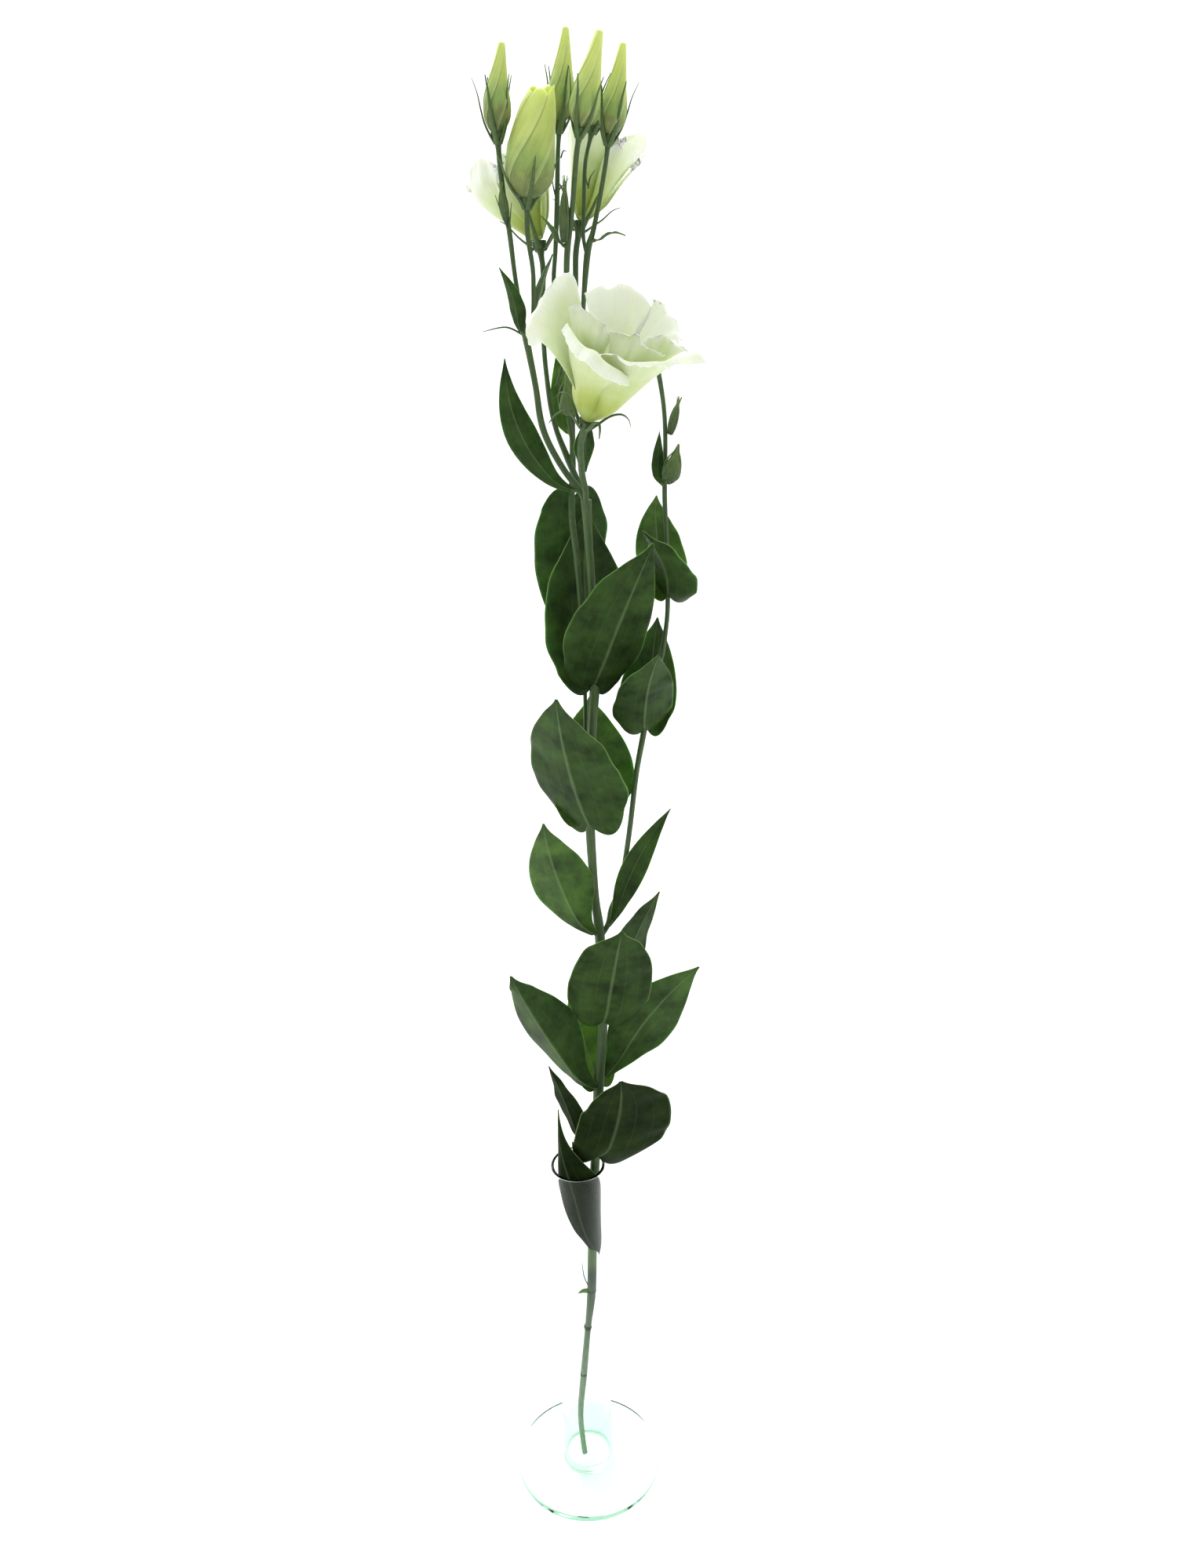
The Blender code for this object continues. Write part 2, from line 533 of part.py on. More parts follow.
def petal(name, flower, heading, half_angle, inset, start, end):
    """One petal: a patch of the bell with one edge outside its neighbour and one edge inside."""
    grid = []
    for i in range(PETAL_ROWS):
        share = i / (PETAL_ROWS - 1)
        spread = PETAL_SPREAD[i] * half_angle
        line = []
        for j in range(PETAL_COLUMNS):
            s = 2 * j / (PETAL_COLUMNS - 1) - 1
            t = start + (end - start) * share * (1 - LOBE_DEPTH * share * s * s)
            turn = heading + spread * s
            offset = PINWHEEL * s * min(1, 4 * t) - inset * min(1, 3 * t)
            line.append(bell_point(flower, turn, t) + bell_normal(flower, turn, t) * offset)
        grid.append(line)
    return shell(name, grid, PETAL_THICKNESS, "white_petal")


def corolla(name, flower):
    """A whole bell of joined petals with a lobed rim, open at its mouth."""
    rows = PETAL_ROWS
    bm = bmesh.new()
    skins = []
    for sign in (0.5, -0.5):
        skin = []
        for i in range(rows):
            ring = []
            for k in range(BELL_COLUMNS):
                heading = 360 * k / BELL_COLUMNS
                lobe = abs(math.sin(math.radians(2.5 * heading)))
                t = i / (rows - 1) * (1 - LOBE_DEPTH * (1 - lobe) * i / (rows - 1))
                offset = bell_normal(flower, heading, t) * BELL_SKIN * sign
                ring.append(bm.verts.new(bell_point(flower, heading, t) + offset))
            skin.append(ring)
        for lower, upper in zip(skin, skin[1:]):
            join_rings(bm, lower, upper)
        skins.append(skin)
    join_rings(bm, skins[0][-1], skins[1][-1])
    axis = flower_axes(flower)[0]
    base = Vector(flower["base"])
    for skin, height in zip(skins, BELL_FLOOR):
        cap(bm, skin[0], base + axis * height)
    return add_object(name, bm, "white_petal")


def pistil(flower):
    """The pistil in the front flower's throat: a style with a broad two-lobed stigma."""
    axis = flower_axes(flower)[0]
    base = Vector(flower["base"]) + axis * PISTIL_START
    frames = frames_along([base, base + axis * PISTIL_LENGTH], len(PISTIL_RADII))
    bm = bmesh.new()
    end = tube(bm, frames, PISTIL_RADII, BUD_SIDES)
    cap(bm, end, frames[-1][0])
    return add_object("pistil", bm, "stigma_yellow")


def clear_scene():
    """Remove whatever the scene held before."""
    for obj in list(bpy.data.objects):
        bpy.data.objects.remove(obj, do_unlink=True)


def build_stems():
    """Stems and stalks, with a calyx on each one that ends in a bud or a flower."""
    stalk("main_stem", MAIN_STEM, STEM_SIDES)
    stalk("right_stem", RIGHT_STEM)
    stalk("back_stem", BACK_STEM, sepals=BACK_FLOWER_SEPALS)
    stalk("left_stem", LEFT_STEM, sepals=BUD_SEPALS)
    stalk("centre_stem", CENTRE_STEM, sepals=BACK_FLOWER_SEPALS)
    stalk("flower_1_stalk", FLOWER_1_STALK, sepals=FLOWER_SEPALS)
    stalk("bud_2_stalk", BUD_2_STALK, sepals=OPENING_SEPALS)
    stalk("bud_3_stalk", BUD_3_STALK, sepals=BUD_SEPALS)
    stalk("bud_4_stalk", BUD_4_STALK, sepals=BUD_SEPALS)
    stalk("bud_5_stalk", BUD_5_STALK, sepals=BUD_SEPALS)
    stalk("bud_6_stalk", BUD_6_STALK, sepals=SMALL_SEPALS)


def build_leaves():
    """Leaves in pairs at the stem's nodes, and the narrow bracts at the forks."""
    for name, *shape in BROAD_LEAVES:
        leaf(name, *shape, LEAF_OUTLINE, LEAF_LOBE)
    for name, *shape in SIDE_LEAVES:
        leaf(name, *shape, SIDE_LEAF_OUTLINE, 0)
    for name, *shape in BRACTS:
        leaf(name, *shape, BRACT_OUTLINE, 0)


def build_flowers():
    """Buds, the front flower's petals and the two flowers behind."""
    for name, *shape in BUDS:
        finish = "green_stem" if name.startswith("small") else "bud_green"
        spindle(name, *shape, finish)
    for name, *shape in PETALS:
        petal(name, FLOWER_1, *shape)
    pistil(FLOWER_1)
    corolla("flower_2_corolla", FLOWER_2)
    corolla("flower_3_corolla", FLOWER_3)


clear_scene()
vase()
build_stems()
build_leaves()
build_flowers()
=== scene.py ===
# %% [markdown]
# # A cut lisianthus in a glass bud vase
#
# One branching stem with paired leaves, long furled buds and three white flowers stands in a
# narrow glass tube on a flat foot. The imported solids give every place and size. Each plant part
# is then made again as a thin, veined and ruffled skin, because leaves and petals are far too
# fine for the coarse solids that stand in for them in the simulation.

import math

import bmesh
import bpy
import numpy as np
from mathutils import Matrix, Vector


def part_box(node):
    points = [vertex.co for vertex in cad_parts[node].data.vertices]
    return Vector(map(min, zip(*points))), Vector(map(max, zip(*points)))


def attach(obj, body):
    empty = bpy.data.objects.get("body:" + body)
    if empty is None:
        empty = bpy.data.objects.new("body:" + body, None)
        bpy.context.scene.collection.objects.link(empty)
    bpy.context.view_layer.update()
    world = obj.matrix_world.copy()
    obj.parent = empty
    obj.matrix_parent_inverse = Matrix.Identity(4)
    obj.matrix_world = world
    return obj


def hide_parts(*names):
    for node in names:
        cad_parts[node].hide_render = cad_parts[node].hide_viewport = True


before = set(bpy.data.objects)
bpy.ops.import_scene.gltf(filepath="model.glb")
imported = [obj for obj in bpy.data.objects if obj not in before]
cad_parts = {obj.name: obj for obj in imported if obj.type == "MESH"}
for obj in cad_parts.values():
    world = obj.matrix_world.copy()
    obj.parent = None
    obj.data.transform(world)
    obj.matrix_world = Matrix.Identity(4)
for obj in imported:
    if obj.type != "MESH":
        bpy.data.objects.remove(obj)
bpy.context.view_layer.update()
MM = 0.001

# %% [markdown]
# ## Camera
#
# The plant is two thirds of a metre tall and is seen from close by, at the height of its buds,
# so the view falls steeply towards the foot. A short lens 0.5 m away gives that strong taper,
# and a small roll tilts the vase the way a hand-held shot does. The places are in millimetres
# from the foot's middle.

# %% Camera
CAMERA_PLACE = (9.4, -514.1, 632.3)
CAMERA_YAW = 0.10
CAMERA_PITCH = 24.47
CAMERA_ROLL = 1.66
LENS_MM = 31.18

foot_low, foot_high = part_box("vase")
vase_middle = (foot_low + foot_high) / 2
origin = Vector((vase_middle.x, vase_middle.y, foot_low.z))


def add_camera():
    """A camera that looks along +Y, pitched down and rolled about its own axis."""
    data = bpy.data.cameras.new("camera")
    data.sensor_fit = "VERTICAL"
    data.sensor_height = 36
    data.lens = LENS_MM
    data.clip_start = 0.01
    camera = bpy.data.objects.new("camera", data)
    turn = Matrix.Rotation(math.radians(-CAMERA_YAW), 4, "Z")
    turn @= Matrix.Rotation(math.radians(90 - CAMERA_PITCH), 4, "X")
    turn @= Matrix.Rotation(math.radians(-CAMERA_ROLL), 4, "Z")
    camera.matrix_world = Matrix.Translation(origin + Vector(CAMERA_PLACE) * MM) @ turn
    bpy.context.scene.collection.objects.link(camera)
    bpy.context.scene.camera = camera
    return camera


camera = add_camera()
print("camera at", tuple(round(v, 3) for v in camera.matrix_world.translation))

# %% [markdown]
# ## Light and floor
#
# A white studio sweep is bright above and behind the subject and dim in front of it, so leaves
# show their shaded undersides with glowing rims, and petals shine through. The sky is a smooth
# ramp towards one bright direction. One large soft lamp above and behind adds the light that
# comes through the leaves, and a weak one in front fills the shadows. The floor is a plain
# white sheet.

# %% World, lamps and floor
WORLD_DIM = 0.34
WORLD_BRIGHT = 1.42
BRIGHT_DIRECTION = (0.0, 0.60, 0.80)
FLOOR_SIZE = 8.0
FLOOR_GAP = 0.0003


def linear(hex_colour):
    """An sRGB hex colour as linear red, green, blue and a full alpha."""
    channels = [int(hex_colour[k:k + 2], 16) / 255 for k in (1, 3, 5)]
    return (*[c / 12.92 if c <= 0.04045 else ((c + 0.055) / 1.055) ** 2.4 for c in channels], 1.0)


def add_node(tree, kind, settings=None, links=None):
    """Add a node, give it its settings, and link outputs (or a node's first output) into it."""
    node = tree.nodes.new(kind)
    for key, value in (settings or {}).items():
        if isinstance(value, str) and value.startswith("#"):
            value = linear(value)
        if key == "stops":
            elements = node.color_ramp.elements
            while len(elements) < len(value):
                elements.new(1.0)
            for element, (place, colour) in zip(elements, value):
                element.position = place
                element.color = linear(colour)
        elif isinstance(key, int) or key in node.inputs:
            node.inputs[key].default_value = value
        else:
            setattr(node, key, value)
    for key, source in (links or {}).items():
        output = source.outputs[0] if isinstance(source, bpy.types.Node) else source
        tree.links.new(output, node.inputs[key])
    return node


def add_world():
    """A white sky, dim in front of the plant and bright above and behind it."""
    world = bpy.data.worlds.new("studio_sweep")
    bpy.context.scene.world = world
    world.use_nodes = True
    tree = world.node_tree
    tree.nodes.clear()
    direction = add_node(tree, "ShaderNodeTexCoord").outputs["Generated"]
    towards = add_node(tree, "ShaderNodeVectorMath",
                       {"operation": "DOT_PRODUCT", 1: BRIGHT_DIRECTION}, {0: direction})
    strength = add_node(tree, "ShaderNodeMapRange",
                        {"interpolation_type": "SMOOTHSTEP", "From Min": -0.5, "From Max": 0.7,
                         "To Min": WORLD_DIM, "To Max": WORLD_BRIGHT},
                        {"Value": towards.outputs["Value"]})
    sky = add_node(tree, "ShaderNodeBackground", {"Color": "#ffffff"}, {"Strength": strength})
    add_node(tree, "ShaderNodeOutputWorld", links={"Surface": sky})


def add_lamp(name, place, aim, size, power):
    """A square soft lamp at a place, turned to an aim point; both in metres."""
    data = bpy.data.lights.new(name, "AREA")
    data.size = size
    data.energy = power
    lamp = bpy.data.objects.new(name, data)
    lamp.location = place
    lamp.rotation_euler = (Vector(aim) - Vector(place)).to_track_quat("-Z", "Y").to_euler()
    bpy.context.scene.collection.objects.link(lamp)


def add_floor():
    """A wide white sheet just under the vase's foot."""
    bm = bmesh.new()
    bmesh.ops.create_grid(bm, x_segments=8, y_segments=8, size=FLOOR_SIZE / 2)
    mesh = bpy.data.meshes.new("floor_sheet")
    bm.to_mesh(mesh)
    bm.free()
    floor = bpy.data.objects.new("floor_sheet", mesh)
    floor.location = (origin.x, origin.y, origin.z - FLOOR_GAP)
    bpy.context.scene.collection.objects.link(floor)
    material = bpy.data.materials.new("white_sweep_paper")
    material.use_nodes = True
    shader = material.node_tree.nodes["Principled BSDF"]
    shader.inputs["Base Color"].default_value = linear("#f8f8f8")
    shader.inputs["Roughness"].default_value = 0.9
    shader.inputs["Specular IOR Level"].default_value = 0.1
    mesh.materials.append(material)


add_world()
add_lamp("back_lamp", (-0.5, 1.1, 1.5), (0, 0, 0.4), 1.0, 14)
add_lamp("front_fill", (-0.9, -1.3, 1.2), (0, 0, 0.5), 1.2, 2.4)
add_floor()
bpy.context.scene.view_settings.view_transform = "Standard"

# %% [markdown]
# ## Skins, tubes and pieces
#
# Three shapes make everything here. A skin is a thin closed sheet around a grid of points, for
# leaves and petals. A tube is a row of rings, for stems, sepals and buds. A turned body is an
# outline spun round the vertical axis, for the glass. They are built as arrays of points,
# because thousands of points are quick to bend that way. Every point also carries four plain
# numbers for the finishes: how far along and across its part it lies, whether it is on the
# underside, and a tone, which on the leaves and the main stem also carries painted light and shade.

# %% Curves and directions
def smooth(values, t):
    """Read rows of numbers at t (0 to 1) along a Catmull-Rom curve through them."""
    values = np.asarray(values, float)
    last = len(values) - 1
    place = np.clip(np.atleast_1d(t), 0, 1) * last
    i = np.minimum(place.astype(int), last - 1)
    u = (place - i).reshape(-1, *[1] * (values.ndim - 1))
    before, a, b = values[np.maximum(i - 1, 0)], values[i], values[i + 1]
    after = values[np.minimum(i + 2, last)]
    return (2 * a + (b - before) * u + (2 * before - 5 * a + 4 * b - after) * u ** 2
            + (3 * a - before - 3 * b + after) * u ** 3) / 2


def unit(vectors):
    """Vectors at length one."""
    vectors = np.asarray(vectors, float)
    return vectors / np.maximum(np.linalg.norm(vectors, axis=-1, keepdims=True), 1e-9)


def turned_about(vector, axis, degrees):
    """A vector turned about an axis."""
    return np.array(Matrix.Rotation(math.radians(degrees), 3, Vector(axis)) @ Vector(vector))


def travel(points, side=None):
    """Tangent, side and up directions that follow a line of points without twisting."""
    tangent = unit(np.gradient(points, axis=0))
    last = np.cross(tangent[0], (0.31, 0.92, 0.17)) if side is None else np.asarray(side, float)
    sides = np.empty_like(tangent)
    for k, ahead in enumerate(tangent):
        last = unit(last - ahead * (last @ ahead))
        sides[k] = last
    return tangent, sides, np.cross(tangent, sides)


def grid_normal(grid):
    """Unit normals of a grid of points (rows x columns x 3)."""
    return unit(np.cross(np.gradient(grid, axis=1), np.gradient(grid, axis=0)))


# %% Parts
def part(points, faces, along=0.0, across=0.0, under=0.0, tone=0.0):
    """One closed body: points in millimetres, faces, and the four numbers for its finish."""
    count = len(points)
    marks = {"along": along, "across": across, "under": under, "tone": tone}
    marks = {key: np.broadcast_to(value, count).astype(float) for key, value in marks.items()}
    return {"points": points, "faces": faces, **marks}


def ring_faces(rings, sides):
    """Quads between rings of points, with a fan at each end about the last two points."""
    faces = []
    for k in range(rings - 1):
        for j in range(sides):
            a, b = k * sides + j, k * sides + (j + 1) % sides
            faces.append((a, b, b + sides, a + sides))
    first, last = rings * sides, rings * sides + 1
    top = (rings - 1) * sides
    for j in range(sides):
        faces.append((first, (j + 1) % sides, j))
        faces.append((last, top + j, top + (j + 1) % sides))
    return faces


def tube(route, radii, sides=16, rings=24, flat=1.0, side=None, ribs=0.0, tone=0.0):
    """A closed tube along a route, round or flattened, with optional lengthwise ribs."""
    t = np.linspace(0, 1, rings)
    points = smooth(route, t)
    radius = smooth(radii, t)[:, None, None]
    _, across, up = travel(points, side)
    angle = np.linspace(0, 2 * math.pi, sides, endpoint=False)[None, :, None]
    body = across[:, None] * np.cos(angle) + up[:, None] * np.sin(angle) * flat
    body = points[:, None] + body * radius * (1 + ribs * np.cos(4 * angle))
    cloud = np.concatenate([body.reshape(-1, 3), points[:1], points[-1:]])
    along = np.concatenate([np.repeat(t, sides), [0, 1]])
    tones = smooth(tone, t) if np.ndim(tone) else np.full(rings, float(tone))
    tones = np.concatenate([np.repeat(tones, sides), tones[:1], tones[-1:]])
    return part(cloud, ring_faces(rings, sides), along=along, tone=tones)


def skin(grid, above, below, along, across, tone=0.0):
    """A closed thin sheet about a grid, reaching above and below it by the given thicknesses."""
    rows, columns = grid.shape[:2]
    normal = grid_normal(grid)
    upper = grid + normal * np.broadcast_to(above, (rows, columns))[..., None]
    lower = grid - normal * np.broadcast_to(below, (rows, columns))[..., None]
    size = rows * columns
    faces = []
    for i in range(rows - 1):
        for j in range(columns - 1):
            a = i * columns + j
            b = a + columns
            faces.append((a, a + 1, b + 1, b))
            faces.append((size + a, size + b, size + b + 1, size + a + 1))
    border = [j for j in range(columns)]
    border += [i * columns + columns - 1 for i in range(1, rows)]
    border += [(rows - 1) * columns + j for j in range(columns - 2, -1, -1)]
    border += [i * columns for i in range(rows - 2, 0, -1)]
    for a, b in zip(border, border[1:] + border[:1]):
        faces.append((a, size + a, size + b, b))
    cloud = np.concatenate([upper.reshape(-1, 3), lower.reshape(-1, 3)])
    along = np.tile(np.broadcast_to(along, (rows, columns)).ravel(), 2)
    across = np.tile(np.broadcast_to(across, (rows, columns)).ravel(), 2)
    under = np.repeat([0.0, 1.0], size)
    return part(cloud, faces, along=along, across=across, under=under, tone=tone)


# %% Pieces
def make_piece(name, parts, material, nodes=()):
    """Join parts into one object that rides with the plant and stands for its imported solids."""
    offset = 0
    faces = []
    for item in parts:
        faces += [tuple(k + offset for k in face) for face in item["faces"]]
        offset += len(item["points"])
    cloud = np.concatenate([item["points"] for item in parts]) * MM + np.array(origin)
    mesh = bpy.data.meshes.new(name)
    mesh.from_pydata(cloud.tolist(), [], faces)
    bm = bmesh.new()
    bm.from_mesh(mesh)
    bmesh.ops.recalc_face_normals(bm, faces=bm.faces)
    bm.to_mesh(mesh)
    bm.free()
    for key in ("along", "across", "under", "tone"):
        values = np.concatenate([item[key] for item in parts]).astype(np.float32)
        mesh.attributes.new(key, "FLOAT", "POINT").data.foreach_set("value", values)
    mesh.shade_smooth()
    mesh.materials.append(material)
    piece = bpy.data.objects.new(name, mesh)
    bpy.context.scene.collection.objects.link(piece)
    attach(piece, "root")
    if nodes:
        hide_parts(*nodes)
    return piece


def gap_to_solid(piece, node):
    """The most, in millimetres, by which a piece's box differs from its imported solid's box."""
    corners = np.array([v.co for v in piece.data.vertices])
    low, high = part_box(node)
    return max(abs(corners.min(0) - np.array(low)).max(), abs(corners.max(0) - np.array(high)).max()) / MM


# %% [markdown]
# ## Clear glass
#
# The vase is drawn soda-lime glass, colourless through its thin wall and faintly green where
# the light runs a long way inside it, at the foot's edge and in the thick bottom. That tint is
# real absorption, so it is a volume finish and not a surface colour. Light from the lamps is let
# straight through, because thin clear glass throws almost no shadow.

# %% Glass finish
GLASS_IOR = 1.50
GLASS_TINT = "#6cd0a0"
GLASS_DENSITY = 20.0


def new_material(name):
    """A new material and its node tree, still empty."""
    material = bpy.data.materials.new(name)
    material.use_nodes = True
    material.node_tree.nodes.clear()
    return material, material.node_tree


def soda_lime_glass():
    """Drawn soda-lime glass: smooth and clear, green only in the depth."""
    material, tree = new_material("drawn_soda_lime_glass")
    # Drawn glass is never quite even: a slow wave of some 12 mm bends what shows through it.
    place = add_node(tree, "ShaderNodeTexCoord").outputs["Object"]
    wave = add_node(tree, "ShaderNodeTexNoise", {"Scale": 80.0, "Detail": 1.0}, {"Vector": place})
    bump = add_node(tree, "ShaderNodeBump", {"Strength": 0.06, "Distance": 0.0004}, {"Height": wave})
    clear = add_node(tree, "ShaderNodeBsdfPrincipled",
                     {"Base Color": "#fcfffe", "Transmission Weight": 1.0, "Roughness": 0.0,
                      "IOR": GLASS_IOR, "Specular Tint": "#585858"}, {"Normal": bump})
    lit = add_node(tree, "ShaderNodeBsdfTransparent", {"Color": "#f6fbf9"})
    path = add_node(tree, "ShaderNodeLightPath")
    # Light caught inside the foot circles it many times. After six turns it is let straight out.
    caught = add_node(tree, "ShaderNodeMath", {"operation": "GREATER_THAN", 1: 5.5},
                      {0: path.outputs["Ray Depth"]})
    passes = add_node(tree, "ShaderNodeMath", {"operation": "MAXIMUM"},
                      {0: path.outputs["Is Shadow Ray"], 1: caught})
    mix = add_node(tree, "ShaderNodeMixShader", links={0: passes, 1: clear, 2: lit})
    depth = add_node(tree, "ShaderNodeVolumeAbsorption",
                     {"Color": GLASS_TINT, "Density": GLASS_DENSITY})
    add_node(tree, "ShaderNodeOutputMaterial", links={"Surface": mix, "Volume": depth})
    return material


# %% [markdown]
# ## The bud vase
#
# A flat round foot, 4 mm thick with a rounded edge, carries a straight tube with a thick bottom
# and a rim that was melted round in a flame. It could be a stack of cylinders, but a real vase
# has no inner corners: one outline turned about the axis gives the fillets where the light
# gathers.

# %% Vase
VASE_HEIGHT = 1000 * (foot_high.z - foot_low.z)
FOOT_RADIUS = 500 * (foot_high.x - foot_low.x)
FOOT_THICKNESS = 4.0
FOOT_EDGE = 1.2
TUBE_RADIUS = 12.7
TUBE_WALL = 1.2
TUBE_FLOOR = 6.0
TUBE_FILLET = 2.5
RIM_BEAD = 0.15
VASE_SEGMENTS = 128


def arc(centre, radius, start, end, steps):
    """Points on an arc in the outline plane, angles in degrees."""
    angles = np.radians(np.linspace(start, end, steps + 1))
    return [(centre[0] + radius * math.cos(a), centre[1] + radius * math.sin(a)) for a in angles]


def vase_outline():
    """Half of the vase's section, from the middle of its underside to the inside bottom."""
    half_wall = TUBE_WALL / 2
    inner = TUBE_RADIUS - TUBE_WALL
    edge = FOOT_RADIUS - FOOT_EDGE
    outline = [(0.01, 0), (edge * 0.5, 0)]
    outline += arc((edge, FOOT_EDGE), FOOT_EDGE, -90, 0, 8)
    outline += arc((edge, FOOT_THICKNESS - FOOT_EDGE), FOOT_EDGE, 0, 90, 8)
    outline += [(edge * 0.6, FOOT_THICKNESS)]
    outline += arc((TUBE_RADIUS + TUBE_FILLET, FOOT_THICKNESS + TUBE_FILLET), TUBE_FILLET, 270, 180, 8)
    outline += [(TUBE_RADIUS, z) for z in np.linspace(12, VASE_HEIGHT - 3, 24)]
    outline += arc((TUBE_RADIUS - half_wall, VASE_HEIGHT - half_wall - RIM_BEAD / 2),
                   half_wall + RIM_BEAD / 2, 0, 180, 12)
    outline += [(inner, z) for z in np.linspace(VASE_HEIGHT - 3, 12, 24)]
    outline += arc((inner - 2 * TUBE_FILLET, TUBE_FLOOR + 2 * TUBE_FILLET), 2 * TUBE_FILLET, 0, -90, 10)
    outline += [(0.01, TUBE_FLOOR)]
    return np.array(outline)


def turned(outline, segments):
    """A body turned from an outline of (radius, height) that starts and ends by the axis."""
    angle = np.linspace(0, 2 * math.pi, segments, endpoint=False)[None, :]
    x = outline[:, :1] * np.cos(angle)
    y = outline[:, :1] * np.sin(angle)
    z = np.broadcast_to(outline[:, 1:], x.shape)
    cloud = np.stack([x, y, z], -1).reshape(-1, 3)
    ends = [(0, 0, outline[0, 1]), (0, 0, outline[-1, 1])]
    return part(np.concatenate([cloud, ends]), ring_faces(len(outline), segments))


glass = soda_lime_glass()
vase = make_piece("bud_vase", [turned(vase_outline(), VASE_SEGMENTS)], glass, ["vase"])
print("vase points:", len(vase.data.vertices), "off its solid by", round(gap_to_solid(vase, "vase"), 2), "mm")

# %% [markdown]
# ## Green stem
#
# A lisianthus stem is smooth and waxy with four faint ribs. Inside the vase it is painted paler
# and greyer towards the bottom, as painted light let in through the glass, and darker near
# 124 mm, as painted shade below the sheathing leaf. The colour follows the tone number from fresh
# dark green to that pale grey green, broken up by streaks that run lengthwise and by small flecks.

# %% Stem finish
def waxy_stem():
    """Living stem skin: dark green, waxy, streaked lengthwise, grey and pale where tone is high, as painted light low
    in the vase.
    """
    material, tree = new_material("waxy_green_stem")
    tone = add_node(tree, "ShaderNodeAttribute", {"attribute_name": "tone"}).outputs["Fac"]
    # Painted light and shade in the vase: the main stem's tone climbs to the pale grey green at 1 low down, which is
    # painted light, and dips to the dark stop at 0.5 near 124 mm, which is painted shade. The node scars use that dark
    # stop as their own colour.
    green = add_node(tree, "ShaderNodeValToRGB",
                     {"stops": [(0.0, "#4c6a3e"), (0.35, "#6b8c4a"), (0.5, "#3f4c30"),
                                (0.72, "#6d8062"), (1.0, "#a9c79f")]}, {"Fac": tone})
    # Streaks about 0.6 mm wide and ten times as long, the scale of a stem's bundles of fibres
    place = add_node(tree, "ShaderNodeTexCoord").outputs["Object"]
    drawn_out = add_node(tree, "ShaderNodeMapping", {"Scale": (1, 1, 0.1)}, {"Vector": place})
    streaks = add_node(tree, "ShaderNodeTexNoise", {"Scale": 1600.0, "Detail": 3.0},
                       {"Vector": drawn_out})
    shade = add_node(tree, "ShaderNodeValToRGB", {"stops": [(0.3, "#6c6c6c"), (0.7, "#949494")]},
                     {"Fac": streaks})
    streaked = add_node(tree, "ShaderNodeMix",
                        {"data_type": "RGBA", "blend_type": "OVERLAY", 0: 0.8},
                        {6: green, 7: shade}).outputs[2]
    flecks = add_node(tree, "ShaderNodeTexNoise", {"Scale": 900.0, "Detail": 2.0},
                      {"Vector": place})
    bump = add_node(tree, "ShaderNodeBump", {"Strength": 0.35, "Distance": 0.0003},
                    {"Height": streaks})
    rough = add_node(tree, "ShaderNodeMapRange", {"To Min": 0.42, "To Max": 0.62},
                     {"Value": flecks})
    skin_shader = add_node(tree, "ShaderNodeBsdfPrincipled",
                           {"IOR": 1.42, "Subsurface Weight": 0.3, "Subsurface Scale": 0.0006,
                            "Subsurface Radius": (0.5, 1.0, 0.2)},
                           {"Base Color": streaked, "Roughness": rough, "Normal": bump})
    add_node(tree, "ShaderNodeOutputMaterial", links={"Surface": skin_shader})
    return material
